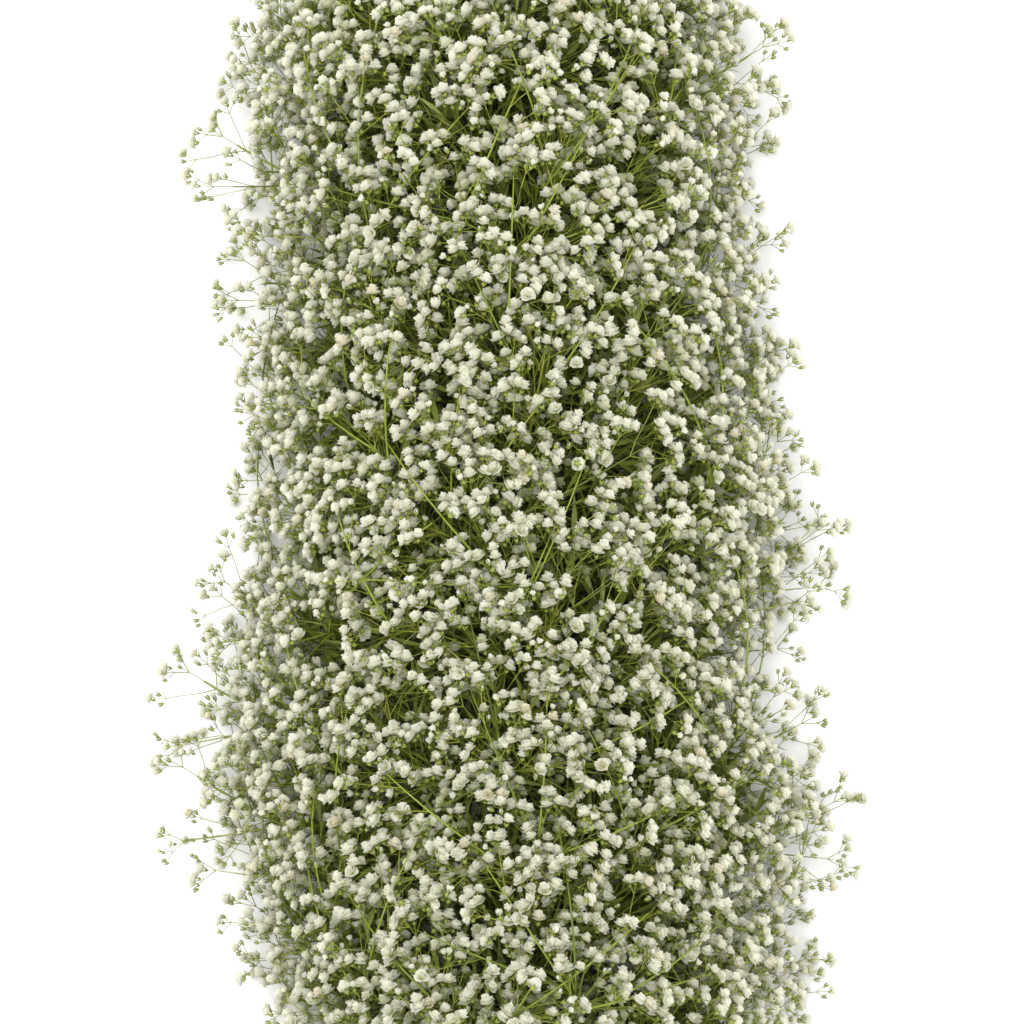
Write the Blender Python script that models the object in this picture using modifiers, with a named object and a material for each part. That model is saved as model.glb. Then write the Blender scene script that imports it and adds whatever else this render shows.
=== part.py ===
"""Gypsophila garland, lying on a surface.

Cut sprays of white baby's breath are bound one after another along a straight cord.
Each spray is one grown piece: a stem that leaves the cord, arches out to its own side
and forks into opposite pairs of branches, with a small bloom head at every tip. Further
branches then fill the spots that are still bare, from whichever spray is best placed.
The garland lies along Y with all tips towards +Y, X is its width and Z its height.
The origin is on the surface, under the middle of the garland's box.
"""

import math
import random

import bmesh
import bpy
import numpy as np
from mathutils import Quaternion, Vector

# The layout is drawn about the middle of the view; this puts the origin under its box
ORIGIN_SHIFT = (0.0031, 0.0242, -0.0027)

# Cord and binding points
CORD_RADIUS = 0.0030
CORD_HEIGHT = 0.041
CORD_TAIL = 0.030
TIE_COUNT = 10
TIE_PITCH = 0.066
FIRST_TIE_Y = -0.372
TIE_WIDTH = 0.006
TIE_WALL = 0.0010
TIE_STEPS = 16

# Spray anatomy
STEM_RADIUS = 0.00115
BRANCH_RADIUS = 0.00080
BLOOM_RADIUS = 0.0076
BLOOM_END_RADIUS = 0.0050
BLOOM_LENGTH = 0.0155
BLOOM_WIDEST = 0.55
STEM_ROUNDNESS = 1
BRANCH_ROUNDNESS = 0
STEM_SEGMENTS = 7
NODE_STEPS = (3, 4, 5)
WELD = 0.00001
BRANCH_SHARE = (0.46, 0.36, 0.28)
BRANCH_ANGLE = (30.0, 42.0)
PAIR_TURN = 90.0
EDGE_TURN = 30.0
SHOULDER_TURN = 60.0
TOP_TURN = 15.0
BRANCH_LENGTH_SPREAD = (0.86, 1.08)
BRANCH_CLOSEST = 0.92

# How a stem or branch is moved, in metres or degrees a try, until it is clear of the others
STEM_TRIES = 40
STEM_WOBBLE = 0.002
BRANCH_TRIES = 120
BRANCH_JITTER = 10.0
BRANCH_JITTER_GROWTH = 1.5
BRANCH_LEAN_GROWTH = 0.12

# Stems lie in eight slots round the cord, one spray to a slot at each tie
SEAT_GAP = 0.00035
SLOT_COUNT = 8
SLOT_RADIUS = CORD_RADIUS + STEM_RADIUS + SEAT_GAP
TIE_INNER_RADIUS = (SLOT_RADIUS + STEM_RADIUS + SEAT_GAP) / math.cos(math.pi / TIE_STEPS)
STEM_BELOW_TIE = (0.018, 0.028)
STEM_ABOVE_TIE = 0.007

# A faceted stem reaches a little past its nominal radius at a bend
CORNER = 1.08
SPRAY_GAP = 0.0005

# How a stem arches: shares of its reach that it goes forward and outward at the cord, how much
# of its y and z the heading at its tip keeps, how long it follows that, and how high it crests
ARCH_FORWARD = 0.24
ARCH_OUTWARD = 0.03
ARCH_HEADING = (0.9, 0.35)
ARCH_FINISH = 0.34
ARCH_CREST = 0.10
ARCH_HIGH_CREST = 0.2

# Dome that the tips stay under
DOME_HALF_WIDTH = 0.205
DOME_HEIGHT = 0.142
DOME_RIM = 0.98
LEAST_HEADROOM = 3.0 * BLOOM_RADIUS

# Tips of the edge sprays: tie number, slot, then x, y and z of the tip
LEFT_TIPS = (
    (0, 5, -0.146, -0.312, 0.012),
    (0, 4, -0.165, -0.232, 0.030),
    (1, 4, -0.212, -0.150, 0.010),
    (2, 4, -0.208, -0.092, 0.012),
    (3, 4, -0.184, -0.036, 0.034),
    (4, 4, -0.162, 0.026, 0.020),
    (5, 4, -0.156, 0.088, 0.036),
    (6, 4, -0.174, 0.160, 0.014),
    (7, 4, -0.186, 0.234, 0.028),
    (8, 4, -0.160, 0.296, 0.016),
    (9, 4, -0.128, 0.338, 0.030),
)
RIGHT_TIPS = (
    (0, 7, 0.146, -0.322, 0.012),
    (0, 0, 0.192, -0.268, 0.012),
    (1, 0, 0.206, -0.170, 0.034),
    (2, 0, 0.188, -0.124, 0.014),
    (3, 0, 0.196, -0.004, 0.018),
    (4, 0, 0.170, 0.050, 0.036),
    (5, 0, 0.166, 0.104, 0.014),
    (6, 0, 0.158, 0.168, 0.032),
    (7, 0, 0.152, 0.230, 0.014),
    (8, 0, 0.162, 0.288, 0.030),
    (9, 0, 0.128, 0.336, 0.014),
)
SHOULDER_X = 0.098
SHOULDER_REACH = 0.140
SHOULDER_Z = 0.090
TOP_X = (-0.044, 0.022, -0.012, 0.048)
TOP_REACH = 0.150
TOP_Z = 0.128
END_SHORTENING = 0.055

# Outline of the dense part from above: y, then x of its left edge and of its right edge
OUTLINE = (
    (-0.350, -0.105, 0.120),
    (-0.300, -0.138, 0.166),
    (-0.227, -0.152, 0.163),
    (-0.180, -0.172, 0.190),
    (-0.128, -0.172, 0.150),
    (-0.075, -0.164, 0.147),
    (-0.005, -0.152, 0.174),
    (0.042, -0.156, 0.156),
    (0.118, -0.147, 0.148),
    (0.200, -0.146, 0.132),
    (0.265, -0.162, 0.136),
    (0.305, -0.156, 0.138),
    (0.340, -0.120, 0.110),
)

# Spots for further bloom heads: share of the dome's size, least distance apart, and tries
SPOT_SHEETS = ((0.97, 0.0285, 9000), (0.64, 0.0360, 5000))
SPOT_ANGLES = (4.0, 176.0)
SPOT_CEILING = 0.132
END_ROUNDING = 0.060
END_DROP = 0.75

# Which joint a further branch may leave from: its shortest reach, then its longest in each round,
# the cosine of its angle, and how far back and how far up it may point for its length
FILL_SHORTEST = 0.026
FILL_LONGEST = (0.060, 0.078, 0.098)
FILL_COSINE = (0.50, 0.94)
FILL_BACKWARD = -0.25
FILL_UPWARD = 0.72
FILL_TURN_COST = 0.6
FILL_CHOICES = 14
STEM_JOINTS = (0.0, 0.5)
BRANCH_JOINTS = (0.25, 0.40, 0.55, 0.70)
SEED = 3


def clear_scene():
    for obj in list(bpy.data.objects):
        bpy.data.objects.remove(obj, do_unlink=True)
    for mesh in list(bpy.data.meshes):
        bpy.data.meshes.remove(mesh)


def tie_y(number):
    return FIRST_TIE_Y + number * TIE_PITCH


def slot_point(slot, y):
    """A point on the axis of a stem that is bound in one of the slots."""
    angle = math.tau * slot / SLOT_COUNT
    return Vector((SLOT_RADIUS * math.cos(angle), y, CORD_HEIGHT + SLOT_RADIUS * math.sin(angle)))


def dome_height(x):
    """Height of the garland's upper surface across its width."""
    share = min(abs(x) / DOME_HALF_WIDTH, DOME_RIM)
    return DOME_HEIGHT * math.sqrt(1.0 - share ** 2)


def inside_dome(point):
    """Lift a point off the surface and press it down under the dome."""
    low = BLOOM_RADIUS
    high = max(dome_height(point.x), LEAST_HEADROOM)
    return Vector((point.x, point.y, min(max(point.z, low), high)))


def bezier(a, b, c, d, t):
    s = 1.0 - t
    return a * s ** 3 + b * 3.0 * s * s * t + c * 3.0 * s * t * t + d * t ** 3


def segment_gaps(start, end, starts, ends):
    """Shortest distances from one segment to many others."""
    u = end - start
    v = ends - starts
    w = start - starts
    uu = u @ u
    uv = v @ u
    vv = np.einsum("ij,ij->i", v, v)
    uw = w @ u
    vw = np.einsum("ij,ij->i", v, w)
    s = np.clip((uv * vw - vv * uw) / np.maximum(uu * vv - uv * uv, 1e-18), 0.0, 1.0)
    t = np.clip((uv * s + vw) / vv, 0.0, 1.0)
    s = np.clip((uv * t - uw) / uu, 0.0, 1.0)
    return np.linalg.norm(w + np.outer(s, u) - t[:, None] * v, axis=1)


class Thicket:
    """Every stretch of stem placed so far, to keep new ones clear of it."""

    def __init__(self):
        self.starts = np.zeros((0, 3))
        self.ends = np.zeros((0, 3))
        self.radii = np.zeros(0)
        self.owners = np.zeros(0, int)

    def add(self, points, radii, owner):
        line = np.array([tuple(point) for point in points])
        thick = np.maximum(radii[:-1], radii[1:])
        self.starts = np.vstack((self.starts, line[:-1]))
        self.ends = np.vstack((self.ends, line[1:]))
        self.radii = np.concatenate((self.radii, thick))
        self.owners = np.concatenate((self.owners, np.full(len(thick), owner)))

    def is_clear(self, points, radii, ignored):
        """True where a line keeps its gap to all stretches that aren't ignored."""
        line = np.array([tuple(point) for point in points])
        for step in range(len(line) - 1):
            thick = max(radii[step], radii[step + 1])
            gaps = segment_gaps(line[step], line[step + 1], self.starts, self.ends)
            room = gaps - CORNER * (self.radii + thick) - SPRAY_GAP
            if (room[~ignored] < 0.0).any():
                return False
        return True

    def own(self, owner):
        return self.owners == owner

    def own_at(self, owner, node):
        """The spray's own stretches that meet at one of its nodes."""
        place = np.array(tuple(node))
        near = np.minimum(
            np.linalg.norm(self.starts - place, axis=1), np.linalg.norm(self.ends - place, axis=1)
        )
        return (self.owners == owner) & (near < STEM_RADIUS)


def bloom_line(start, tip):
    """A branch from its node to the bloom head at its tip, with a radius at each point."""
    along = (tip - start).normalized()
    neck = tip - along * BLOOM_LENGTH
    widest = tip - along * BLOOM_LENGTH * BLOOM_WIDEST
    return [start, neck, widest, tip], [BRANCH_RADIUS, BRANCH_RADIUS, BLOOM_RADIUS, BLOOM_END_RADIUS]


def spray_plans():
    """Name, tie, slot, tip and turn of the first pair of every spray, in the order of binding."""
    plans = []
    for side, tips in (("left", LEFT_TIPS), ("right", RIGHT_TIPS)):
        for number, (tie, slot, x, y, z) in enumerate(tips, 1):
            plans.append((f"{side}_spray_{number:02d}", tie, slot, Vector((x, y, z)), EDGE_TURN))
    for tie in range(TIE_COUNT):
        short = END_SHORTENING * (max(0, 2 - tie) / 2 + max(0, tie - TIE_COUNT + 3) / 3)
        side = 1 if tie % 2 else -1
        slot = 1 if side > 0 else 3
        shoulder = Vector((side * SHOULDER_X, tie_y(tie) + SHOULDER_REACH - short, SHOULDER_Z))
        plans.append((f"shoulder_spray_{tie + 1:02d}", tie, slot, shoulder, side * SHOULDER_TURN))
        top = Vector((TOP_X[tie % len(TOP_X)], tie_y(tie) + TOP_REACH - short, TOP_Z))
        plans.append((f"top_spray_{tie + 1:02d}", tie, 2, top, TOP_TURN))
    return sorted(plans, key=lambda plan: (plan[1], plan[0]))


def bound_stretch(tie, slot, chance):
    """The straight stretch of a stem along the cord, from its cut end to where it leaves."""
    cut = slot_point(slot, tie_y(tie) - chance.uniform(*STEM_BELOW_TIE))
    return [cut, slot_point(slot, tie_y(tie) + STEM_ABOVE_TIE)]


def arch(leave, tip):
    """A smooth arch from the cord out to the tip."""
    reach = tip - leave
    outward = (leave - Vector((0.0, leave.y, CORD_HEIGHT))).normalized()
    forward = Vector((0.0, ARCH_FORWARD * reach.length, 0.0))
    first = leave + forward + outward * ARCH_OUTWARD * reach.length
    heading = Vector((reach.x, ARCH_HEADING[0] * abs(reach.y), ARCH_HEADING[1] * reach.z)).normalized()
    second = tip - heading * ARCH_FINISH * reach.length
    second.z += ARCH_CREST * reach.length * (1.0 if tip.z < CORD_HEIGHT else ARCH_HIGH_CREST)
    steps = range(1, STEM_SEGMENTS + 1)
    return [bezier(leave, first, second, tip, step / STEM_SEGMENTS) for step in steps]


def grow_stem(bound, tip, owner, stems, chance):
    """The main stem with its bloom head, its tip moved until it is clear of other sprays."""
    for attempt in range(STEM_TRIES):
        wobble = Vector([chance.uniform(-1.0, 1.0) for axis in range(3)]) * STEM_WOBBLE * attempt
        curve = arch(bound[1], inside_dome(tip + wobble))
        head, head_radii = bloom_line(curve[-2], curve[-1])
        line = bound + curve[:-2] + head
        taper = (STEM_RADIUS - BRANCH_RADIUS) / STEM_SEGMENTS
        thin = [STEM_RADIUS - taper * step for step in range(STEM_SEGMENTS - 2)]
        radii = [STEM_RADIUS, STEM_RADIUS] + thin + head_radii
        if stems.is_clear(line, radii, stems.own(owner)):
            return line, radii
    raise ValueError(f"no room for the stem of spray {owner}")


def grow_branch(line, place, turn, share, owner, stems, bindings, chance):
    """One branch from a node of the main stem, turned until it is clear of everything."""
    node = line[place]
    along = (line[place + 1] - line[place - 1]).normalized()
    level = along.cross(Vector((0.0, 0.0, 1.0))).normalized()
    length = sum((b - a).length for a, b in zip(line[1:], line[2:]))
    ignored = stems.own_at(owner, node)
    for attempt in range(BRANCH_TRIES):
        spread = BRANCH_JITTER + BRANCH_JITTER_GROWTH * attempt
        spin = Quaternion(along, math.radians(turn + chance.uniform(-spread, spread)))
        lean = math.radians(chance.uniform(*BRANCH_ANGLE) + BRANCH_LEAN_GROWTH * attempt)
        heading = along * math.cos(lean) + (spin @ level) * math.sin(lean)
        reach = length * share * chance.uniform(*BRANCH_LENGTH_SPREAD)
        branch, radii = bloom_line(node, inside_dome(node + heading * reach))
        leans_out = (branch[1] - node).normalized().dot(along) < BRANCH_CLOSEST
        free = bindings.is_clear(branch, radii, bindings.own(owner))
        if leans_out and free and stems.is_clear(branch, radii, ignored):
            return branch, radii
    return None


def outline_x(y, side):
    """Where the dense part ends at y, on its left (side 1) or on its right (side 2)."""
    for low, high in zip(OUTLINE, OUTLINE[1:]):
        if y <= high[0]:
            share = max(0.0, (y - low[0]) / (high[0] - low[0]))
            return low[side] + (high[side] - low[side]) * share
    return OUTLINE[-1][side]


def bare_spots(sheet, distance, tries, taken, chance):
    """Places over a dome that keep their distance from the tips there are and from each other."""
    first, last = OUTLINE[0][0], OUTLINE[-1][0]
    spots = []
    for attempt in range(tries):
        y = chance.uniform(first, last)
        angle = math.radians(chance.uniform(*SPOT_ANGLES))
        end = max(0.0, 1.0 - min(y - first, last - y) / END_ROUNDING)
        rounding = math.sqrt(1.0 - END_DROP * end ** 2)
        edge = outline_x(y, 2 if math.cos(angle) > 0.0 else 1)
        x = abs(math.cos(angle)) * edge * sheet * rounding
        z = max(BLOOM_RADIUS, math.sin(angle) * SPOT_CEILING * sheet * rounding)
        spot = np.array((x, y, z))
        if (np.linalg.norm(taken - spot, axis=1) > distance).all():
            taken = np.vstack((taken, spot))
            spots.append(spot)
    return spots, taken


def joints_along(line, owner, shares):
    """Places on a stem that a further branch can leave from: place, direction, owner."""
    joints = []
    for start, end in zip(line[:-1], line[1:]):
        for share in shares:
            joints.append((*start.lerp(end, share), *(end - start).normalized(), owner))
    return joints


def fill_branch(spot, joints, longest, stems, bindings):
    """The branch that reaches a spot at least cost from a joint, clear of every other spray."""
    way = spot - joints[:, :3]
    reach = np.linalg.norm(way, axis=1)
    cosine = np.einsum("ij,ij->i", way, joints[:, 3:6]) / reach
    good = (reach > FILL_SHORTEST) & (reach < longest)
    good &= (cosine > FILL_COSINE[0]) & (cosine < FILL_COSINE[1])
    good &= (way[:, 1] > FILL_BACKWARD * reach) & (way[:, 2] < FILL_UPWARD * reach)
    cost = np.where(good, reach * (1.0 + FILL_TURN_COST * (1.0 - cosine)), np.inf)
    for choice in np.argsort(cost)[:FILL_CHOICES]:
        if not good[choice]:
            return None
        owner = int(joints[choice, 6])
        branch, radii = bloom_line(Vector(joints[choice, :3]), Vector(spot))
        own = stems.own(owner)
        if stems.is_clear(branch, radii, own) and bindings.is_clear(branch, radii, bindings.own(owner)):
            return branch, radii, owner
    return None


def fill_bare_spots(sprays, stems, bindings, sheets):
    """Further branches, from whichever spray is best placed, until no bare spot can be reached."""
    chance = random.Random(f"{SEED} spots {sheets[0]}")
    tips = []
    joints = []
    for owner, spray in enumerate(sprays):
        stem = spray["stem"][0]
        tips.append(tuple(stem[-1]))
        joints += joints_along(stem[2:-2], owner, STEM_JOINTS)
        for line, radii in spray["branches"]:
            tips.append(tuple(line[-1]))
            joints += joints_along(line[:2], owner, BRANCH_JOINTS)
    taken = np.array(tips)
    joints = np.array(joints)
    waiting = []
    for sheet, distance, tries in sheets:
        spots, taken = bare_spots(sheet, distance, tries, taken, chance)
        waiting += spots
    for longest in FILL_LONGEST:
        left = []
        for spot in waiting:
            found = fill_branch(spot, joints, longest, stems, bindings)
            if not found:
                left.append(spot)
                continue
            branch, radii, owner = found
            stems.add(branch, radii, owner)
            sprays[owner]["branches"].append((branch, radii))
            joints = np.vstack((joints, joints_along(branch[:2], owner, BRANCH_JOINTS)))
        waiting = left


def garland_layout():
    """All sprays, grown one after another so that each keeps clear of those before it."""
    stems = Thicket()
    bindings = Thicket()
    for tie in range(TIE_COUNT):
        ends = [Vector((0.0, tie_y(tie) + side * TIE_WIDTH / 2, CORD_HEIGHT)) for side in (-1, 1)]
        bindings.add(ends, [TIE_INNER_RADIUS + TIE_WALL] * 2, -1)
    plans = spray_plans()
    chances = [random.Random(f"{SEED} {plan[0]}") for plan in plans]
    bounds = [bound_stretch(plan[1], plan[2], chance) for plan, chance in zip(plans, chances)]
    for owner, bound in enumerate(bounds):
        stems.add(bound, [STEM_RADIUS] * 2, owner)
    sprays = []
    for owner, (name, tie, slot, tip, first_turn) in enumerate(plans):
        chance = chances[owner]
        line, radii = grow_stem(bounds[owner], tip, owner, stems, chance)
        stems.add(line, radii, owner)
        branches = []
        for pair, (step, share) in enumerate(zip(NODE_STEPS, BRANCH_SHARE)):
            for side in (0.0, 180.0):
                turn = first_turn + pair * PAIR_TURN + side
                branch = grow_branch(line, 1 + step, turn, share, owner, stems, bindings, chance)
                if branch:
                    stems.add(*branch, owner)
                    branches.append(branch)
        sprays.append({"name": name, "stem": (line, radii), "branches": branches})
    fill_bare_spots(sprays, stems, bindings, SPOT_SHEETS)
    return sprays, stems, bindings


def principled(name, colour, roughness, metallic=0.0):
    material = bpy.data.materials.new(name)
    material.use_nodes = True
    shader = material.node_tree.nodes["Principled BSDF"]
    shader.inputs["Base Color"].default_value = (*colour, 1.0)
    shader.inputs["Roughness"].default_value = roughness
    shader.inputs["Metallic"].default_value = metallic
    material.diffuse_color = (*colour, 1.0)
    return material


def finish(obj, collection, material, frame):
    """Put a piece in its collection and frame, and give it its material."""
    collection.objects.link(obj)
    obj.parent = frame
    obj.data.materials.append(material)


def tube(name, lines, roundness):
    """A closed mesh of round stems, each line a list of points and of radii, as a curve bevels it."""
    curve = bpy.data.curves.new("guide", "CURVE")
    curve.dimensions = "3D"
    curve.bevel_depth = 1.0
    curve.bevel_resolution = roundness
    curve.twist_mode = "Z_UP"
    curve.use_fill_caps = True
    for points, radii in lines:
        spline = curve.splines.new("POLY")
        spline.points.add(len(points) - 1)
        for control, point, radius in zip(spline.points, points, radii):
            control.co = (*point, 1.0)
            control.radius = radius
    guide = bpy.data.objects.new("guide", curve)
    bpy.context.scene.collection.objects.link(guide)
    bpy.context.view_layer.update()
    evaluated = guide.evaluated_get(bpy.context.evaluated_depsgraph_get())
    mesh = bpy.data.meshes.new_from_object(evaluated)
    mesh.name = name
    welded = bmesh.new()
    welded.from_mesh(mesh)
    bmesh.ops.remove_doubles(welded, verts=welded.verts, dist=WELD)
    welded.to_mesh(mesh)
    welded.free()
    obj = bpy.data.objects.new(name, mesh)
    obj.matrix_world = guide.matrix_world
    bpy.data.objects.remove(guide, do_unlink=True)
    mesh.shade_smooth()
    return obj


def make_spray(spray, collection, cutters, material, frame):
    """The main stem with its branches joined on, each with a bloom head at its tip."""
    stem = tube(spray["name"], [spray["stem"]], STEM_ROUNDNESS)
    branches = tube(spray["name"] + "_branches", spray["branches"], BRANCH_ROUNDNESS)
    branches.hide_render = True
    branches.display_type = "WIRE"
    branches.parent = frame
    cutters.objects.link(branches)
    join = stem.modifiers.new("branches", "BOOLEAN")
    join.operation = "UNION"
    join.solver = "EXACT"
    join.use_self = True
    join.object = branches
    finish(stem, collection, material, frame)


def make_cord(collection, material, frame):
    curve = bpy.data.curves.new("binding_cord", "CURVE")
    curve.dimensions = "3D"
    curve.bevel_depth = CORD_RADIUS
    curve.bevel_resolution = 2
    curve.use_fill_caps = True
    spline = curve.splines.new("POLY")
    spline.points.add(1)
    spline.points[0].co = (0.0, tie_y(0) - CORD_TAIL, CORD_HEIGHT, 1.0)
    spline.points[1].co = (0.0, tie_y(TIE_COUNT - 1) + CORD_TAIL, CORD_HEIGHT, 1.0)
    finish(bpy.data.objects.new("binding_cord", curve), collection, material, frame)


def make_tie(number, collection, material, frame):
    """A narrow band round the cord and the stems, turned from its rectangular section."""
    outer = TIE_INNER_RADIUS + TIE_WALL
    half = TIE_WIDTH / 2
    section = [
        (outer, 0.0, half),
        (outer, 0.0, -half),
        (TIE_INNER_RADIUS, 0.0, -half),
        (TIE_INNER_RADIUS, 0.0, half),
    ]
    mesh = bpy.data.meshes.new(f"tie_{number + 1:02d}")
    mesh.from_pydata(section, [(0, 1), (1, 2), (2, 3), (3, 0)], [])
    obj = bpy.data.objects.new(mesh.name, mesh)
    obj.location = (0.0, tie_y(number), CORD_HEIGHT)
    obj.rotation_euler = (math.radians(90.0), 0.0, 0.0)
    turn = obj.modifiers.new("turn", "SCREW")
    turn.steps = TIE_STEPS
    turn.render_steps = TIE_STEPS
    turn.use_merge_vertices = True
    turn.merge_threshold = WELD
    finish(obj, collection, material, frame)


def build():
    clear_scene()
    collection = bpy.data.collections.new("gypsophila_garland")
    cutters = bpy.data.collections.new("cutters")
    bpy.context.scene.collection.children.link(collection)
    bpy.context.scene.collection.children.link(cutters)
    frame = bpy.data.objects.new("garland_frame", None)
    frame.location = ORIGIN_SHIFT
    collection.objects.link(frame)
    green = principled("spray_green", (0.30, 0.38, 0.14), 0.55)
    jute = principled("cord_jute", (0.42, 0.32, 0.18), 0.85)
    bast = principled("tie_bast", (0.20, 0.26, 0.10), 0.60)
    for spray in garland_layout()[0]:
        make_spray(spray, collection, cutters, green, frame)
    make_cord(collection, jute, frame)
    for number in range(TIE_COUNT):
        make_tie(number, collection, bast, frame)


build()
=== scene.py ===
"""Gypsophila garland: the looks of its sprays, cord and ties.

The sprays' stems and first branches repeat the layout that the solids have. On them grow
the fine twigs, the forking heads of blossoms and buds, and the narrow leaves, all as meshes.
Each spray is one piece, because it grew as one.
"""

import math
import random

import bpy
import numpy as np
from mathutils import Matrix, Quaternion, Vector


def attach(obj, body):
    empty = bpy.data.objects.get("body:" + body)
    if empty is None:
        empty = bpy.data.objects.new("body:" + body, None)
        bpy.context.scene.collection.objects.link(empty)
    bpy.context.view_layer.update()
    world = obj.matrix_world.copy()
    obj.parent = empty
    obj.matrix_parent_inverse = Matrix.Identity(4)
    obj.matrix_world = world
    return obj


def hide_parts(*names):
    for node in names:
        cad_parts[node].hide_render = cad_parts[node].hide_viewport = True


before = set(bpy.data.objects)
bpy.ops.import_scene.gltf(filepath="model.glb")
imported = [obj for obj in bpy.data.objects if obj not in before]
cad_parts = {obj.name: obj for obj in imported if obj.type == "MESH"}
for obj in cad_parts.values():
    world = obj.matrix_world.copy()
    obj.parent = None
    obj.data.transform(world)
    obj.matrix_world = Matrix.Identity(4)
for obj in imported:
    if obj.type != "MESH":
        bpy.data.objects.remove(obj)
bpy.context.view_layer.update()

# The layout is drawn about the middle of the view; this puts the origin under its box
ORIGIN_SHIFT = (0.0031, 0.0242, -0.0027)

# Cord and binding points
CORD_RADIUS = 0.0030
CORD_HEIGHT = 0.041
CORD_TAIL = 0.030
TIE_COUNT = 10
TIE_PITCH = 0.066
FIRST_TIE_Y = -0.372
TIE_WIDTH = 0.006
TIE_WALL = 0.0010
TIE_STEPS = 16

# Spray anatomy
STEM_RADIUS = 0.00115
BRANCH_RADIUS = 0.00080
BLOOM_RADIUS = 0.0076
BLOOM_END_RADIUS = 0.0050
BLOOM_LENGTH = 0.0155
BLOOM_WIDEST = 0.55
STEM_SEGMENTS = 7
NODE_STEPS = (3, 4, 5)
BRANCH_SHARE = (0.46, 0.36, 0.28)
BRANCH_ANGLE = (30.0, 42.0)
PAIR_TURN = 90.0
EDGE_TURN = 30.0
SHOULDER_TURN = 60.0
TOP_TURN = 15.0
BRANCH_LENGTH_SPREAD = (0.86, 1.08)
BRANCH_CLOSEST = 0.92

# How a stem or branch is moved, in metres or degrees a try, until it is clear of the others
STEM_TRIES = 40
STEM_WOBBLE = 0.002
BRANCH_TRIES = 120
BRANCH_JITTER = 10.0
BRANCH_JITTER_GROWTH = 1.5
BRANCH_LEAN_GROWTH = 0.12

# Stems lie in eight slots round the cord, one spray to a slot at each tie
SEAT_GAP = 0.00035
SLOT_COUNT = 8
SLOT_RADIUS = CORD_RADIUS + STEM_RADIUS + SEAT_GAP
TIE_INNER_RADIUS = (SLOT_RADIUS + STEM_RADIUS + SEAT_GAP) / math.cos(math.pi / TIE_STEPS)
STEM_BELOW_TIE = (0.018, 0.028)
STEM_ABOVE_TIE = 0.007

# A faceted stem reaches a little past its nominal radius at a bend
CORNER = 1.08
SPRAY_GAP = 0.0005

# Keeps parallel segments from a division by zero
NEARLY_PARALLEL = 1e-18

# How a stem arches: shares of its reach that it goes forward and outward at the cord, how much
# of its y and z the heading at its tip keeps, how long it follows that, and how high it crests
ARCH_FORWARD = 0.24
ARCH_OUTWARD = 0.03
ARCH_HEADING = (0.9, 0.35)
ARCH_FINISH = 0.34
ARCH_CREST = 0.10
ARCH_HIGH_CREST = 0.2

# Dome that the tips stay under
DOME_HALF_WIDTH = 0.205
DOME_HEIGHT = 0.142
DOME_RIM = 0.98
LEAST_HEADROOM = 3.0 * BLOOM_RADIUS

# Tips of the edge sprays: tie number, slot, then x, y and z of the tip
LEFT_TIPS = (
    (0, 5, -0.146, -0.312, 0.012),
    (0, 4, -0.165, -0.232, 0.030),
    (1, 4, -0.212, -0.150, 0.010),
    (2, 4, -0.208, -0.092, 0.012),
    (3, 4, -0.184, -0.036, 0.034),
    (4, 4, -0.162, 0.026, 0.020),
    (5, 4, -0.156, 0.088, 0.036),
    (6, 4, -0.174, 0.160, 0.014),
    (7, 4, -0.186, 0.234, 0.028),
    (8, 4, -0.160, 0.296, 0.016),
    (9, 4, -0.128, 0.338, 0.030),
)
RIGHT_TIPS = (
    (0, 7, 0.146, -0.322, 0.012),
    (0, 0, 0.192, -0.268, 0.012),
    (1, 0, 0.206, -0.170, 0.034),
    (2, 0, 0.188, -0.124, 0.014),
    (3, 0, 0.196, -0.004, 0.018),
    (4, 0, 0.170, 0.050, 0.036),
    (5, 0, 0.166, 0.104, 0.014),
    (6, 0, 0.158, 0.168, 0.032),
    (7, 0, 0.152, 0.230, 0.014),
    (8, 0, 0.162, 0.288, 0.030),
    (9, 0, 0.128, 0.336, 0.014),
)
SHOULDER_X = 0.098
SHOULDER_REACH = 0.140
SHOULDER_Z = 0.090
TOP_X = (-0.044, 0.022, -0.012, 0.048)
TOP_REACH = 0.150
TOP_Z = 0.128
END_SHORTENING = 0.055

# Outline of the dense part from above: y, then x of its left edge and of its right edge
OUTLINE = (
    (-0.350, -0.105, 0.120),
    (-0.300, -0.138, 0.166),
    (-0.227, -0.152, 0.163),
    (-0.180, -0.172, 0.190),
    (-0.128, -0.172, 0.150),
    (-0.075, -0.164, 0.147),
    (-0.005, -0.152, 0.174),
    (0.042, -0.156, 0.156),
    (0.118, -0.147, 0.148),
    (0.200, -0.146, 0.132),
    (0.265, -0.162, 0.136),
    (0.305, -0.156, 0.138),
    (0.340, -0.120, 0.110),
)

# Spots for further bloom heads: share of the dome's size, least distance apart, and tries
SPOT_SHEETS = ((0.97, 0.0285, 9000), (0.64, 0.0360, 5000))
SPOT_ANGLES = (4.0, 176.0)
SPOT_CEILING = 0.132
END_ROUNDING = 0.060
END_DROP = 0.75

# Which joint a further branch may leave from: its shortest reach, then its longest in each round,
# the cosine of its angle, and how far back and how far up it may point for its length
FILL_SHORTEST = 0.026
FILL_LONGEST = (0.060, 0.078, 0.098)
FILL_COSINE = (0.50, 0.94)
FILL_BACKWARD = -0.25
FILL_UPWARD = 0.72
FILL_TURN_COST = 0.6
FILL_CHOICES = 14
STEM_JOINTS = (0.0, 0.5)
BRANCH_JOINTS = (0.25, 0.40, 0.55, 0.70)
SEED = 3

# Spots for the branches that are too fine for the solids, then for leafy shoots without flowers
FINE_SHEETS = ((0.97, 0.0212, 14000), (0.78, 0.0300, 9000))
LEAFY_SHEETS = ((0.76, 0.0132, 14000), (0.62, 0.0128, 12000), (0.46, 0.0124, 10000), (0.28, 0.0120, 6000))

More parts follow.
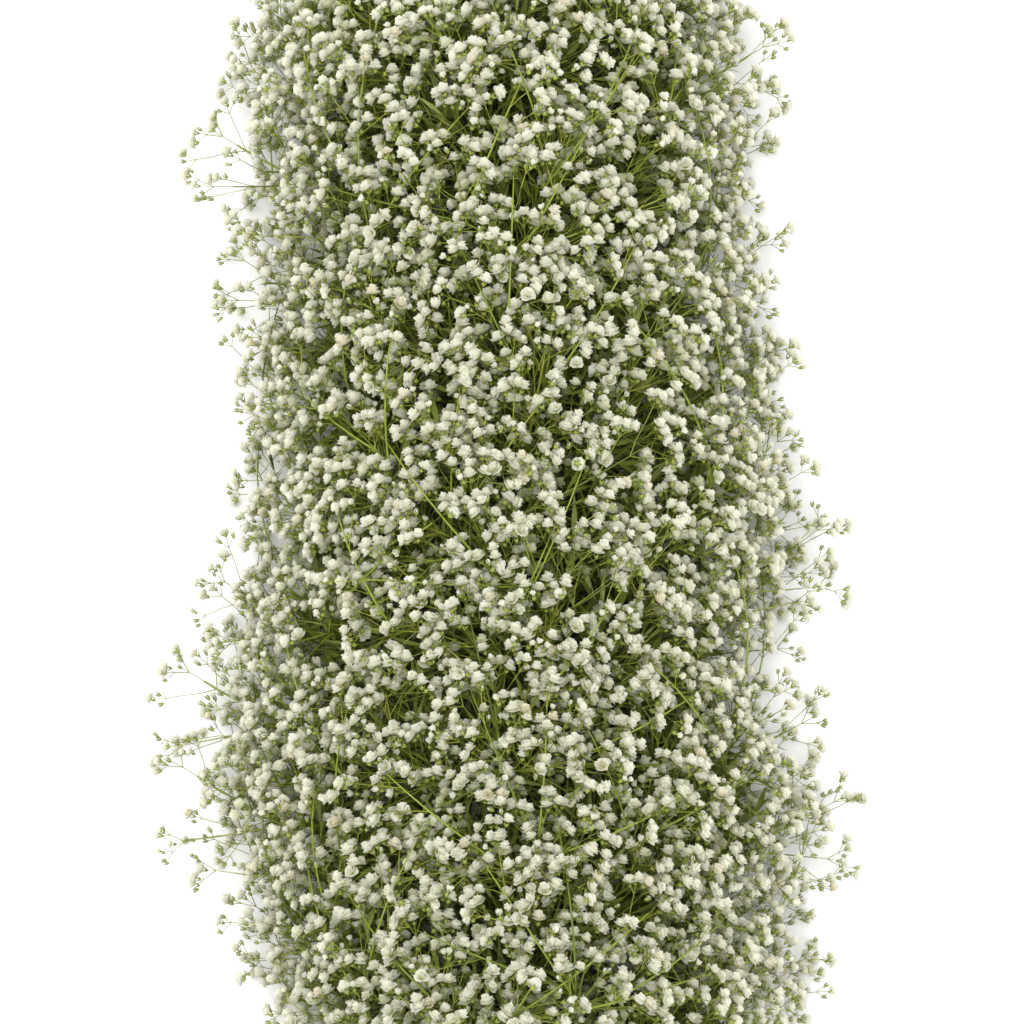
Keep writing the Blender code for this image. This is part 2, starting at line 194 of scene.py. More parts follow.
# Long stems that run over the flowers before they fork. They start near the dome, and their lift, fork
# and twigs are shares of a length. OVER_ALONG is what the ramp reads at the start, and how far it falls.
OVER_SHEET = (1.0, 0.042, 2500)
OVER_REACH = (0.050, 0.100)
OVER_COSINE = 0.80
OVER_START_DEPTH = 0.72
OVER_LIFT = 0.085
OVER_RADIUS = (0.00078, 0.00044)
OVER_POINTS = 6
OVER_SIDES = 5
OVER_ALONG = (0.9, 0.5)
OVER_FORK = 0.8
OVER_PLACES = (0.58, 0.80)
OVER_TWIG_CHANCE = 0.75
OVER_TWIG_SHARE = 0.9

# Fine growth, in metres and degrees: radii at the start and the end of each kind, then the sides, the
# thinning at the edge, what the ramp reads at a twig's start, and the least tone deep inside, a painted
# shade
STEM_LOOK_RADIUS = (0.00122, 0.00062)
BRANCH_LOOK_RADIUS = (0.00060, 0.00038)
SHOOT_RADIUS = (0.00050, 0.00032)
TWIG_RADIUS = (0.00033, 0.00026)
PEDICEL_RADIUS = (0.00025, 0.00020)
STEM_SIDES = 7
BRANCH_SIDES = 4
TWIG_SIDES = 3
EDGE_THINNING = 0.10
TWIG_ALONG = 0.35
PAINTED_SHADE_LEAST_TONE = 0.40

# A main stem swells at its nodes, which take the colour at the far end of the ramp
STEM_SMOOTHING = 3
NODE_SWELL = 0.28
NODE_REACH = 0.0022
NODE_MARK = 0.002
NODE_ALONG = 2.0
STEM_ALONG_FALL = 0.4

# Forking heads, which start this far short of a tip, and side twigs, at these shares of a line
HEAD_START = 0.024
FORK_ANGLE = (28.0, 50.0)
FORK_TWIST = (60.0, 120.0)
FORK_LENGTH = 0.0112
FORK_RATIO = 0.84
FORK_STRETCH = (0.88, 1.12)
FORK_LIFT = 0.002
SIDE_PEDICEL = (0.75, 1.15)
MIDDLE_PEDICEL = (0.60, 0.95)
MIDDLE_TILT = 8.0
STEM_PLACES = (0.35, 0.6, 0.82)
SIDE_PLACES = (0.42, 0.66)
SIDE_TWIG_LENGTH = (0.014, 0.024)
SIDE_TWIG_CHANCE = (0.35, 0.80)
SIDE_TWIG_FORK = 0.85
SIDE_TWIG_LEAN = 4.0
SIDE_TWIG_LIFT = 0.003
SIDE_TWIG_BOW = 0.04
FULL_TWIG_REACH = 0.06
BRANCH_POINTS = 5
BRANCH_BOW = 0.03
INNER_DEPTH = 0.66

# Flowers: chance of an open one and of one that is at least half open, in the middle of a fork and
# beside it, then where open ones are full, how sizes vary, the depths over which the olive painted shade
# of deep flowers fades to white, and how much of the tone is age rather than painted shade
MIDDLE_CHANCES = (0.86, 0.96)
SIDE_CHANCES = (0.66, 0.88)
OPEN_LOSS_AT_EDGE = 0.26
FULL_DEPTH = 0.80
FULL_CHANCE = 0.80
FULL_LOSS_AT_EDGE = 0.3
BLOSSOM_SIZE = (0.98, 1.30)
EDGE_SHRINKING = 0.16
PAINTED_SHADE_DEPTHS = (0.50, 0.95)
AGE_SHARE = 0.40

# Where flowers look: a fan of this many degrees to each side, and how far they climb, sink and vary
FAN_TURN = 62.0
AXIS_CLIMB = 0.40
AXIS_SINK = (0.26, 0.55)
AXIS_SPREAD = 0.32

# Leaves and leafy shoots: shares of a stem or shoot, sizes and their taper
LEAFY_SHARE = 0.90
LEAF_START = 0.04
LEAF_PAIR_GAP = 0.010
LEAF_LENGTH = 0.040
LEAF_WIDTH = 0.0042
LEAF_TAPER = 0.6
LEAF_SCATTER = 25.0
LEAF_STRETCH = (0.75, 1.15)
# Leaf tone: how fast it rises with depth out of the painted shade deep inside, then its random spread
LEAF_TONE_AND_SHADE = (0.85, 0.25)
LEAF_FOLD = 0.35
LEAF_FLOOR = 0.002
BRACT_LENGTH = 0.012
BRACT_WIDTH = 0.0018
SHOOT_LENGTH = (0.036, 0.072)
SHOOT_ANGLE = (18.0, 38.0)
SHOOT_FLOOR = (0.004, 0.016)
SHOOT_CEILING = 0.84
SHOOT_BOW = 0.06
SHOOT_NODES = (0.42, 0.72, 0.98)
SHOOT_LEAF_LENGTH = 0.032
SHOOT_LEAF_WIDTH = 0.0037
SHOOT_LEAF_SIZE = (0.8, 1.1)
SHOOT_LEAF_TAPER = 0.15
SHADED_HEIGHT = 0.060
LOW_WIDENING = 1.60

# Room under the flowers and over the dome, and the height below which points are squeezed
LIFT = 0.0042
LIFT_SPREAD = 0.0015
LEAST_CEILING = 0.020
CEILING_ROOM = 0.003
CEILING_GIVE = 0.3
PRESS_HEIGHT = 0.0010

# Allowances on the outline and the dome, and where growth starts to thin out towards the edge
OUTLINE_ALLOWANCE = 0.008
CEILING_ALLOWANCE = 0.006
AIRY_START = 0.72
AIRY_SPAN = 0.38

# Cord: its three strands, then the loose fibres at its cut ends
STRAND_COUNT = 3
STRAND_PITCH = 0.016
STRAND_RADIUS = 0.00148
STRAND_STEPS = 9
FIBRE_COUNT = 26
FIBRE_REACH = (0.002, 0.006)
FIBRE_SPREAD = (0.6, 1.0)
FIBRE_ROOT = 0.15
FIBRE_RADII = (0.00016, 0.00014, 0.00012, 0.0001)

# Tie: its turns of twine, then its two tails
TWINE_RADIUS = 0.00052
TWINE_TURNS = 5
TWINE_STEPS = 18
TAIL_POINTS = 6
TAIL_TURN = 0.35
TAIL_LIFT = 1.6
TAIL_RISE = 0.0022
TAIL_RUN = 0.0035
TAIL_THINNING = 0.9
ROPE_SIDES = 6

# Materials: share of the light that a petal lets through, and the dark and light of two fibres
PETAL_CLEARNESS = 0.42
WHITE = (1.0, 1.0, 1.0)
JUTE = ((0.20, 0.14, 0.07), (0.50, 0.39, 0.22))
BAST = ((0.10, 0.12, 0.04), (0.26, 0.30, 0.12))

# Studio: floor, world, softboxes by name, place, side, power and colour, and the camera
FLOOR_SIZE = 8.0
FLOOR_HEIGHT = -0.0004
WORLD_STRENGTH = 0.84
SOFTBOXES = (
    ("overhead_softbox", (-0.25, 0.35, 1.9), 1.5, 37.0, (1.0, 0.99, 0.97)),
    ("side_softbox", (1.6, -0.6, 1.2), 1.2, 5.0, (0.97, 0.98, 1.0)),
)
LIGHT_AIM = (0.0, 0.0, 0.05)
PHOTO_SPAN = 0.600
LENS = 100.0
SENSOR = 36.0
FOCUS_HEIGHT = 0.085
FAR_LIMIT = 20.0

# Material slots of a spray's mesh
STEM, SEPAL, PETAL, LEAF = range(4)


def tie_y(number):
    return FIRST_TIE_Y + number * TIE_PITCH


def around_cord(radius, angle, y):
    """A point at a distance from the cord's axis, at an angle from +X."""
    return Vector((radius * math.cos(angle), y, CORD_HEIGHT + radius * math.sin(angle)))


def slot_point(slot, y):
    """A point on the axis of a stem that is bound in one of the slots."""
    return around_cord(SLOT_RADIUS, math.tau * slot / SLOT_COUNT, y)


def array_of(points):
    return np.array([tuple(point) for point in points])


def leaning(along, outward, lean):
    """A direction that leans away from a stem's own, towards one square to it."""
    return along * math.cos(lean) + outward * math.sin(lean)


def turned_from(along, turn):
    """A direction square to a stem, turned about it."""
    return Quaternion(along, math.radians(turn)) @ along.orthogonal().normalized()


def arc(start, end, points, bow):
    """Points of an arc whose middle lies off the straight line by the vector bow."""
    shares = [step / (points - 1) for step in range(points)]
    return [start.lerp(end, share) + bow * 4.0 * share * (1.0 - share) for share in shares]


def dome_height(x):
    """Height of the garland's upper surface across its width."""
    share = min(abs(x) / DOME_HALF_WIDTH, DOME_RIM)
    return DOME_HEIGHT * math.sqrt(1.0 - share ** 2)


def inside_dome(point):
    """Lift a point off the surface and press it down under the dome."""
    low = BLOOM_RADIUS
    high = max(dome_height(point.x), LEAST_HEADROOM)
    return Vector((point.x, point.y, min(max(point.z, low), high)))


def bezier(a, b, c, d, t):
    s = 1.0 - t
    return a * s ** 3 + b * 3.0 * s * s * t + c * 3.0 * s * t * t + d * t ** 3


def segment_gaps(start, end, starts, ends):
    """Shortest distances from one segment to many others."""
    u = end - start
    v = ends - starts
    w = start - starts
    uu = u @ u
    uv = v @ u
    vv = np.einsum("ij,ij->i", v, v)
    uw = w @ u
    vw = np.einsum("ij,ij->i", v, w)
    s = np.clip((uv * vw - vv * uw) / np.maximum(uu * vv - uv * uv, NEARLY_PARALLEL), 0.0, 1.0)
    t = np.clip((uv * s + vw) / vv, 0.0, 1.0)
    s = np.clip((uv * t - uw) / uu, 0.0, 1.0)
    return np.linalg.norm(w + np.outer(s, u) - t[:, None] * v, axis=1)


class Thicket:
    """Every stretch of stem placed so far, to keep new ones clear of it."""

    def __init__(self):
        self.starts = np.zeros((0, 3))
        self.ends = np.zeros((0, 3))
        self.radii = np.zeros(0)
        self.owners = np.zeros(0, int)

    def add(self, points, radii, owner):
        line = array_of(points)
        thick = np.maximum(radii[:-1], radii[1:])
        self.starts = np.vstack((self.starts, line[:-1]))
        self.ends = np.vstack((self.ends, line[1:]))
        self.radii = np.concatenate((self.radii, thick))
        self.owners = np.concatenate((self.owners, np.full(len(thick), owner)))

    def is_clear(self, points, radii, ignored):
        """True where a line keeps its gap to all stretches that aren't ignored."""
        line = array_of(points)
        for step in range(len(line) - 1):
            thick = max(radii[step], radii[step + 1])
            gaps = segment_gaps(line[step], line[step + 1], self.starts, self.ends)
            room = gaps - CORNER * (self.radii + thick) - SPRAY_GAP
            if (room[~ignored] < 0.0).any():
                return False
        return True

    def own(self, owner):
        return self.owners == owner

    def own_at(self, owner, node):
        """The spray's own stretches that meet at one of its nodes."""
        place = np.array(tuple(node))
        near = np.minimum(
            np.linalg.norm(self.starts - place, axis=1), np.linalg.norm(self.ends - place, axis=1)
        )
        return (self.owners == owner) & (near < STEM_RADIUS)


def bloom_line(start, tip):
    """A branch from its node to the bloom head at its tip, with a radius at each point."""
    along = (tip - start).normalized()
    neck = tip - along * BLOOM_LENGTH
    widest = tip - along * BLOOM_LENGTH * BLOOM_WIDEST
    return [start, neck, widest, tip], [BRANCH_RADIUS, BRANCH_RADIUS, BLOOM_RADIUS, BLOOM_END_RADIUS]


def spray_plans():
    """Name, tie, slot, tip and turn of the first pair of every spray, in the order of binding."""
    plans = []
    for side, tips in (("left", LEFT_TIPS), ("right", RIGHT_TIPS)):
        for number, (tie, slot, x, y, z) in enumerate(tips, 1):
            plans.append((f"{side}_spray_{number:02d}", tie, slot, Vector((x, y, z)), EDGE_TURN))
    for tie in range(TIE_COUNT):
        short = END_SHORTENING * (max(0, 2 - tie) / 2 + max(0, tie - TIE_COUNT + 3) / 3)
        side = 1 if tie % 2 else -1
        slot = 1 if side > 0 else 3
        shoulder = Vector((side * SHOULDER_X, tie_y(tie) + SHOULDER_REACH - short, SHOULDER_Z))
        plans.append((f"shoulder_spray_{tie + 1:02d}", tie, slot, shoulder, side * SHOULDER_TURN))
        top = Vector((TOP_X[tie % len(TOP_X)], tie_y(tie) + TOP_REACH - short, TOP_Z))
        plans.append((f"top_spray_{tie + 1:02d}", tie, 2, top, TOP_TURN))
    return sorted(plans, key=lambda plan: (plan[1], plan[0]))


def bound_stretch(tie, slot, chance):
    """The straight stretch of a stem along the cord, from its cut end to where it leaves."""
    cut = slot_point(slot, tie_y(tie) - chance.uniform(*STEM_BELOW_TIE))
    return [cut, slot_point(slot, tie_y(tie) + STEM_ABOVE_TIE)]


def arch(leave, tip):
    """A smooth arch from the cord out to the tip."""
    reach = tip - leave
    outward = (leave - Vector((0.0, leave.y, CORD_HEIGHT))).normalized()
    forward = Vector((0.0, ARCH_FORWARD * reach.length, 0.0))
    first = leave + forward + outward * ARCH_OUTWARD * reach.length
    heading = Vector((reach.x, ARCH_HEADING[0] * abs(reach.y), ARCH_HEADING[1] * reach.z)).normalized()
    second = tip - heading * ARCH_FINISH * reach.length
    second.z += ARCH_CREST * reach.length * (1.0 if tip.z < CORD_HEIGHT else ARCH_HIGH_CREST)
    steps = range(1, STEM_SEGMENTS + 1)
    return [bezier(leave, first, second, tip, step / STEM_SEGMENTS) for step in steps]


def grow_stem(bound, tip, owner, stems, chance):
    """The main stem with its bloom head, its tip moved until it is clear of other sprays."""
    for attempt in range(STEM_TRIES):
        wobble = Vector([chance.uniform(-1.0, 1.0) for axis in range(3)]) * STEM_WOBBLE * attempt
        curve = arch(bound[1], inside_dome(tip + wobble))
        head, head_radii = bloom_line(curve[-2], curve[-1])
        line = bound + curve[:-2] + head
        taper = (STEM_RADIUS - BRANCH_RADIUS) / STEM_SEGMENTS
        thin = [STEM_RADIUS - taper * step for step in range(STEM_SEGMENTS - 2)]
        radii = [STEM_RADIUS, STEM_RADIUS] + thin + head_radii
        if stems.is_clear(line, radii, stems.own(owner)):
            return line, radii
    raise ValueError(f"no room for the stem of spray {owner}")


def grow_branch(line, place, turn, share, owner, stems, bindings, chance):
    """One branch from a node of the main stem, turned until it is clear of everything."""
    node = line[place]
    along = (line[place + 1] - line[place - 1]).normalized()
    level = along.cross(Vector((0.0, 0.0, 1.0))).normalized()
    length = sum((b - a).length for a, b in zip(line[1:], line[2:]))
    ignored = stems.own_at(owner, node)
    for attempt in range(BRANCH_TRIES):
        spread = BRANCH_JITTER + BRANCH_JITTER_GROWTH * attempt
        spin = Quaternion(along, math.radians(turn + chance.uniform(-spread, spread)))
        lean = math.radians(chance.uniform(*BRANCH_ANGLE) + BRANCH_LEAN_GROWTH * attempt)
        heading = leaning(along, spin @ level, lean)
        reach = length * share * chance.uniform(*BRANCH_LENGTH_SPREAD)
        branch, radii = bloom_line(node, inside_dome(node + heading * reach))
        leans_out = (branch[1] - node).normalized().dot(along) < BRANCH_CLOSEST
        free = bindings.is_clear(branch, radii, bindings.own(owner))
        if leans_out and free and stems.is_clear(branch, radii, ignored):
            return branch, radii
    return None


def outline_x(y, side):
    """Where the dense part ends at y, on its left (side 1) or on its right (side 2)."""
    for low, high in zip(OUTLINE, OUTLINE[1:]):
        if y <= high[0]:
            share = max(0.0, (y - low[0]) / (high[0] - low[0]))
            return low[side] + (high[side] - low[side]) * share
    return OUTLINE[-1][side]


def bare_spots(sheet, distance, tries, taken, chance):
    """Places over a dome that keep their distance from the tips there are and from each other."""
    first, last = OUTLINE[0][0], OUTLINE[-1][0]
    spots = []
    for attempt in range(tries):
        y = chance.uniform(first, last)
        angle = math.radians(chance.uniform(*SPOT_ANGLES))
        end = max(0.0, 1.0 - min(y - first, last - y) / END_ROUNDING)
        rounding = math.sqrt(1.0 - END_DROP * end ** 2)
        edge = outline_x(y, 2 if math.cos(angle) > 0.0 else 1)
        x = abs(math.cos(angle)) * edge * sheet * rounding
        z = max(BLOOM_RADIUS, math.sin(angle) * SPOT_CEILING * sheet * rounding)
        spot = np.array((x, y, z))
        if (np.linalg.norm(taken - spot, axis=1) > distance).all():
            taken = np.vstack((taken, spot))
            spots.append(spot)
    return spots, taken


def joints_along(line, owner, shares):
    """Places on a stem that a further branch can leave from: place, direction, owner."""
    joints = []
    for start, end in zip(line[:-1], line[1:]):
        for share in shares:
            joints.append((*start.lerp(end, share), *(end - start).normalized(), owner))
    return joints


def ways_to(spot, joints):
    """The way from each joint to a spot, its length and the cosine of its turn off the stem."""
    way = spot - joints[:, :3]
    reach = np.linalg.norm(way, axis=1)
    return way, reach, np.einsum("ij,ij->i", way, joints[:, 3:6]) / reach


def fill_branch(spot, joints, longest, stems, bindings):
    """The branch that reaches a spot at least cost from a joint, clear of every other spray."""
    way, reach, cosine = ways_to(spot, joints)
    good = (reach > FILL_SHORTEST) & (reach < longest)
    good &= (cosine > FILL_COSINE[0]) & (cosine < FILL_COSINE[1])
    good &= (way[:, 1] > FILL_BACKWARD * reach) & (way[:, 2] < FILL_UPWARD * reach)
    cost = np.where(good, reach * (1.0 + FILL_TURN_COST * (1.0 - cosine)), np.inf)
    for choice in np.argsort(cost)[:FILL_CHOICES]:
        if not good[choice]:
            return None
        owner = int(joints[choice, 6])
        branch, radii = bloom_line(Vector(joints[choice, :3]), Vector(spot))
        own = stems.own(owner)
        if stems.is_clear(branch, radii, own) and bindings.is_clear(branch, radii, bindings.own(owner)):
            return branch, radii, owner
    return None


def fill_bare_spots(sprays, stems, bindings, sheets):
    """Further branches, from whichever spray is best placed, until no bare spot can be reached."""
    chance = random.Random(f"{SEED} spots {sheets[0]}")
    tips = []
    joints = []
    for owner, spray in enumerate(sprays):
        stem = spray["stem"][0]
        tips.append(tuple(stem[-1]))
        joints += joints_along(stem[2:-2], owner, STEM_JOINTS)
        for line, _ in spray["branches"]:
            tips.append(tuple(line[-1]))
            joints += joints_along(line[:2], owner, BRANCH_JOINTS)
    taken = np.array(tips)
    joints = np.array(joints)
    waiting = []
    for sheet, distance, tries in sheets:
        spots, taken = bare_spots(sheet, distance, tries, taken, chance)
        waiting += spots
    for longest in FILL_LONGEST:
        left = []
        for spot in waiting:
            found = fill_branch(spot, joints, longest, stems, bindings)
            if not found:
                left.append(spot)
                continue
            branch, radii, owner = found
            stems.add(branch, radii, owner)
            sprays[owner]["branches"].append((branch, radii))
            joints = np.vstack((joints, joints_along(branch[:2], owner, BRANCH_JOINTS)))
        waiting = left


def garland_layout():
    """All sprays, grown one after another so that each keeps clear of those before it."""
    stems = Thicket()
    bindings = Thicket()
    for tie in range(TIE_COUNT):
        ends = [Vector((0.0, tie_y(tie) + side * TIE_WIDTH / 2, CORD_HEIGHT)) for side in (-1, 1)]
        bindings.add(ends, [TIE_INNER_RADIUS + TIE_WALL] * 2, -1)
    plans = spray_plans()
    chances = [random.Random(f"{SEED} {plan[0]}") for plan in plans]
    bounds = [bound_stretch(plan[1], plan[2], chance) for plan, chance in zip(plans, chances)]
    for owner, bound in enumerate(bounds):
        stems.add(bound, [STEM_RADIUS] * 2, owner)
    sprays = []
    for owner, (name, tie, slot, tip, first_turn) in enumerate(plans):
        chance = chances[owner]
        line, radii = grow_stem(bounds[owner], tip, owner, stems, chance)
        stems.add(line, radii, owner)
        branches = []
        for pair, (step, share) in enumerate(zip(NODE_STEPS, BRANCH_SHARE)):
            for side in (0.0, 180.0):
                turn = first_turn + pair * PAIR_TURN + side
                branch = grow_branch(line, 1 + step, turn, share, owner, stems, bindings, chance)
                if branch:
                    stems.add(*branch, owner)
                    branches.append(branch)
        sprays.append({"name": name, "stem": (line, radii), "branches": branches})
    fill_bare_spots(sprays, stems, bindings, SPOT_SHEETS)
    return sprays, stems, bindings


class Pile:
    """Collects faces of any size with a material and two values a vertex, then makes one mesh."""

    def __init__(self):
        self.points = []
        self.tones = []
        self.alongs = []
        self.loops = []
        self.totals = []
        self.slots = []
        self.count = 0

    def add(self, points, faces, slot, tone, along):
        points = np.asarray(points, float).reshape(-1, 3)
        faces = np.asarray(faces, int)
        self.points.append(points)
        self.tones.append(np.broadcast_to(tone, len(points)))
        self.alongs.append(np.broadcast_to(along, len(points)))
        self.loops.append((faces + self.count).ravel())
        self.totals.append(np.full(len(faces), faces.shape[1]))
        self.slots.append(np.full(len(faces), slot))
        self.count += len(points)

    def mesh(self, name, materials):
        mesh = bpy.data.meshes.new(name)
        points = np.concatenate(self.points)
        # What would dip below the surface is squeezed smoothly into the space just above it
        low = points[:, 2] < PRESS_HEIGHT
        points[low, 2] = PRESS_HEIGHT * np.exp(points[low, 2] / PRESS_HEIGHT - 1.0)
        loops = np.concatenate(self.loops)
        totals = np.concatenate(self.totals)
        mesh.vertices.add(len(points))
        mesh.vertices.foreach_set("co", points.ravel())
        mesh.loops.add(len(loops))
        mesh.loops.foreach_set("vertex_index", loops)
        mesh.polygons.add(len(totals))
        mesh.polygons.foreach_set("loop_start", np.concatenate(([0], np.cumsum(totals)[:-1])))
        mesh.polygons.foreach_set("material_index", np.concatenate(self.slots))
        mesh.update(calc_edges=True)
        mesh.validate()
        for label, values in (("tone", self.tones), ("along", self.alongs)):
            layer = mesh.attributes.new(label, "FLOAT", "POINT")
            layer.data.foreach_set("value", np.concatenate(values))
        mesh.shade_smooth()
        for material in materials:
            mesh.materials.append(material)
        return mesh


def tubes(pile, lines, sides, slot, capped):
    """Round stems along lines with the same number of points.

    Each line is its points, their radii, a tone and the value along it at each point."""
    paths, radii, tones, alongs = zip(*lines)
    path = np.array([array_of(points) for points in paths])
    steps = path.shape[1]
    tangent = np.gradient(path, axis=1)
    tangent /= np.linalg.norm(tangent, axis=2, keepdims=True)
    guide = np.eye(3)[np.argmin(np.abs(tangent.mean(axis=1)), axis=1)]
    across = np.cross(tangent, guide[:, None, :])
    across /= np.linalg.norm(across, axis=2, keepdims=True)
    upward = np.cross(tangent, across)
    turn = math.tau * np.arange(sides) / sides
    ring = across[:, :, None, :] * np.cos(turn)[:, None] + upward[:, :, None, :] * np.sin(turn)[:, None]
    points = path[:, :, None, :] + ring * np.array(radii)[:, :, None, None]
    index = np.arange(len(lines) * steps * sides).reshape(len(lines), steps, sides)
    after = np.roll(index, -1, axis=2)
    quads = np.stack((index[:, :-1], after[:, :-1], after[:, 1:], index[:, 1:]), axis=-1).reshape(-1, 4)
    base = pile.count
    pile.add(points, quads, slot, np.repeat(tones, steps * sides), np.repeat(np.ravel(alongs), sides))
    if capped:
        caps = np.concatenate((index[:, 0, ::-1], index[:, -1]))
        pile.loops.append((caps + base).ravel())
        pile.totals.append(np.full(len(caps), sides))
        pile.slots.append(np.full(len(caps), slot))


# Rims of two petals: share of the length, share of the width to one side, and how far it is cupped
NOTCHED_RIM = (
    (0.50, -0.52, 1.0), (0.92, -0.36, 0.6), (0.96, 0.0, 0.0), (0.94, 0.36, 0.6), (0.52, 0.52, 1.0),
)
PLAIN_RIM = ((0.54, -0.52, 1.0), (0.98, -0.28, 0.3), (0.94, 0.28, 0.3), (0.52, 0.52, 1.0))

# Petals start on a small ring, each whorl above the last, and vary in turn, length and tilt
CLAW_RADIUS = 0.00035
WHORL_LIFT = 0.00035
SIDE_RUFFLE = 0.6
PETAL_TURN = 9.0
PETAL_STRETCH = (0.88, 1.10)
PETAL_TILT = 10.0

# Whorls of petals: rim, number, length, width, rise, cup and ruffle
FULL_WHORLS = (
    (NOTCHED_RIM, 6, 0.0037, 0.0046, 24.0, 0.0005, 0.00036),
    (NOTCHED_RIM, 5, 0.0041, 0.0045, 50.0, 0.0006, 0.00042),
    (PLAIN_RIM, 5, 0.0043, 0.0038, 76.0, 0.0006, 0.00052),
)
SIMPLE_WHORLS = (
    (NOTCHED_RIM, 5, 0.0038, 0.0048, 32.0, 0.0005, 0.00038),
    (PLAIN_RIM, 4, 0.0042, 0.0044, 66.0, 0.0007, 0.00048),
)
HALF_WHORLS = (
    (PLAIN_RIM, 5, 0.0034, 0.0030, 62.0, 0.0006, 0.00026),
    (PLAIN_RIM, 3, 0.0031, 0.0025, 84.0, 0.0006, 0.00030),
)

# Bud and calyx: five parts round, the bud's rings, how far it sits in its sepals, and the sepals' cup
PARTS_ROUND = 5
BUD_RINGS = ((1.0, 0.35), (0.72, 0.82))
BUD_SINK = 0.0014
CUP_FOOT = -0.0026
CUP_RING = (0.00105, -0.0012, 0.35)


def petal(rim, length, width, rise, cup, ruffle, chance):
    """A petal from its claw round its ruffled edge: x, y, z and share of the length."""
    cosine, sine = math.cos(math.radians(rise)), math.sin(math.radians(rise))
    points = [(CLAW_RADIUS, 0.0, 0.0, 0.0)]
    for place, side, lifted in rim:
        out = place * length + chance.uniform(-ruffle, ruffle)
        lift = lifted * cup + chance.uniform(-ruffle, ruffle)
        y = side * width + chance.uniform(-ruffle, ruffle) * SIDE_RUFFLE
        points.append((CLAW_RADIUS + out * cosine - lift * sine, y, out * sine + lift * cosine, place))
    return points


def blossom(whorls, seed):
    """A double flower, as points with their share of a petal's length, and triangles."""
    chance = random.Random(seed)
    points, faces = [], []
    for order, (rim, number, length, width, rise, cup, ruffle) in enumerate(whorls, 1):
        start = chance.uniform(0.0, 360.0)
        for place in range(number):
            turn = math.radians(start + 360.0 * place / number + chance.uniform(-PETAL_TURN, PETAL_TURN))
            stretch = chance.uniform(*PETAL_STRETCH)
            tilt = rise + chance.uniform(-PETAL_TILT, PETAL_TILT)
            sheet = petal(rim, length * stretch, width, tilt, cup, ruffle, chance)
            claw = len(points)
            faces += [(claw, claw + corner, claw + corner + 1) for corner in range(1, len(sheet) - 1)]
            cosine, sine = math.cos(turn), math.sin(turn)
            lift = WHORL_LIFT * order
            points += [(x * cosine - y * sine, x * sine + y * cosine, z + lift, a) for x, y, z, a in sheet]
    return np.array(points), np.array(faces)


def ring_points(radius, offset, height, along):
    """Five points round the flower's axis."""
    turns = [math.tau * (part + offset) / PARTS_ROUND for part in range(PARTS_ROUND)]
    return [(radius * math.cos(turn), radius * math.sin(turn), height, along) for turn in turns]


def bud(radius, length):
    """A closed bud: petals wrapped to a blunt tip, showing above the sepals."""
    points, faces = [], []
    for share, height in BUD_RINGS:
        points += ring_points(radius * share, 0.5 * height, length * height, height)
    points.append((0.0, 0.0, length, 1.0))
    for part in range(PARTS_ROUND):
        first, second = part, (part + 1) % PARTS_ROUND
        faces.append((first, second, second + PARTS_ROUND))
        faces.append((first, second + PARTS_ROUND, first + PARTS_ROUND))
    top = PARTS_ROUND * (len(BUD_RINGS) - 1)
    for part in range(PARTS_ROUND):
        faces.append((top + part, top + (part + 1) % PARTS_ROUND, len(points) - 1))
    return np.array(points) - [[0.0, 0.0, BUD_SINK, 0.0]], np.array(faces)


def calyx(spread, height):
    """Five pointed sepals, joined in a cup below."""
    radius, rim, along = CUP_RING
    points = [(0.0, 0.0, CUP_FOOT, 0.0)] + ring_points(radius, 0.0, rim, along)
    points += ring_points(spread, 0.5, height, 1.0)
    afters = [(part, (part + 1) % PARTS_ROUND) for part in range(PARTS_ROUND)]
    cup = [(0, 1 + after, 1 + part) for part, after in afters]
    lobes = [(1 + part, 1 + after, 1 + PARTS_ROUND + part) for part, after in afters]
    return np.array(points), np.array(cup + lobes)


PROTOTYPES = {
    "full": [blossom(FULL_WHORLS, seed) for seed in range(7)],
    "simple": [blossom(SIMPLE_WHORLS, 20 + seed) for seed in range(5)],
    "half": [blossom(HALF_WHORLS, 40 + seed) for seed in range(4)],
    "bud": [bud(0.00150, 0.0032), bud(0.00135, 0.0029)],
}
CALYX_OPEN = calyx(0.00255, 0.00070)
CALYX_SHUT = calyx(0.00175, 0.00165)


def frames(axes, spins):
    """Turns that take +Z to each axis, after a spin about it."""
    axes = axes / np.linalg.norm(axes, axis=1, keepdims=True)
    guide = np.where(np.abs(axes[:, :1]) < 0.8, [[1.0, 0.0, 0.0]], [[0.0, 1.0, 0.0]])
    first = np.cross(guide, axes)
    first /= np.linalg.norm(first, axis=1, keepdims=True)
    second = np.cross(axes, first)
    cosine, sine = np.cos(spins)[:, None], np.sin(spins)[:, None]
    return np.stack((first * cosine + second * sine, second * cosine - first * sine, axes), axis=2)


def scatter(pile, shape, faces, slot, places, turns, sizes, tones):
    """Copies of a small shape, each with its own place, turn, size and tone."""
    if not len(places):
        return
    points = np.einsum("nij,vj->nvi", turns, shape[:, :3]) * sizes[:, None, None] + places[:, None, :]
    step = np.arange(len(places))[:, None, None] * len(shape)
    pile.add(
        points, (faces[None] + step).reshape(-1, faces.shape[1]), slot,
        np.repeat(tones, len(shape)), np.tile(shape[:, 3], len(places)),
    )


# Share of the leaf's length, half its width there and how far it leans out, in radians
STEM_LEAF = (
    ((0.0, 0.0, 0.3), (0.30, 0.42, 0.42), (0.62, 0.44, 0.56), (1.0, 0.0, 0.74)),
    [(0, 1, 2), (0, 2, 3), (1, 4, 5), (1, 5, 2), (2, 5, 6), (2, 6, 3), (4, 7, 5), (5, 7, 6)],
)
SHOOT_LEAF = (
    ((0.0, 0.0, 0.35), (0.45, 0.50, 0.55), (1.0, 0.0, 0.80)),
    [(0, 1, 2), (0, 2, 3), (1, 4, 2), (2, 4, 3)],
)


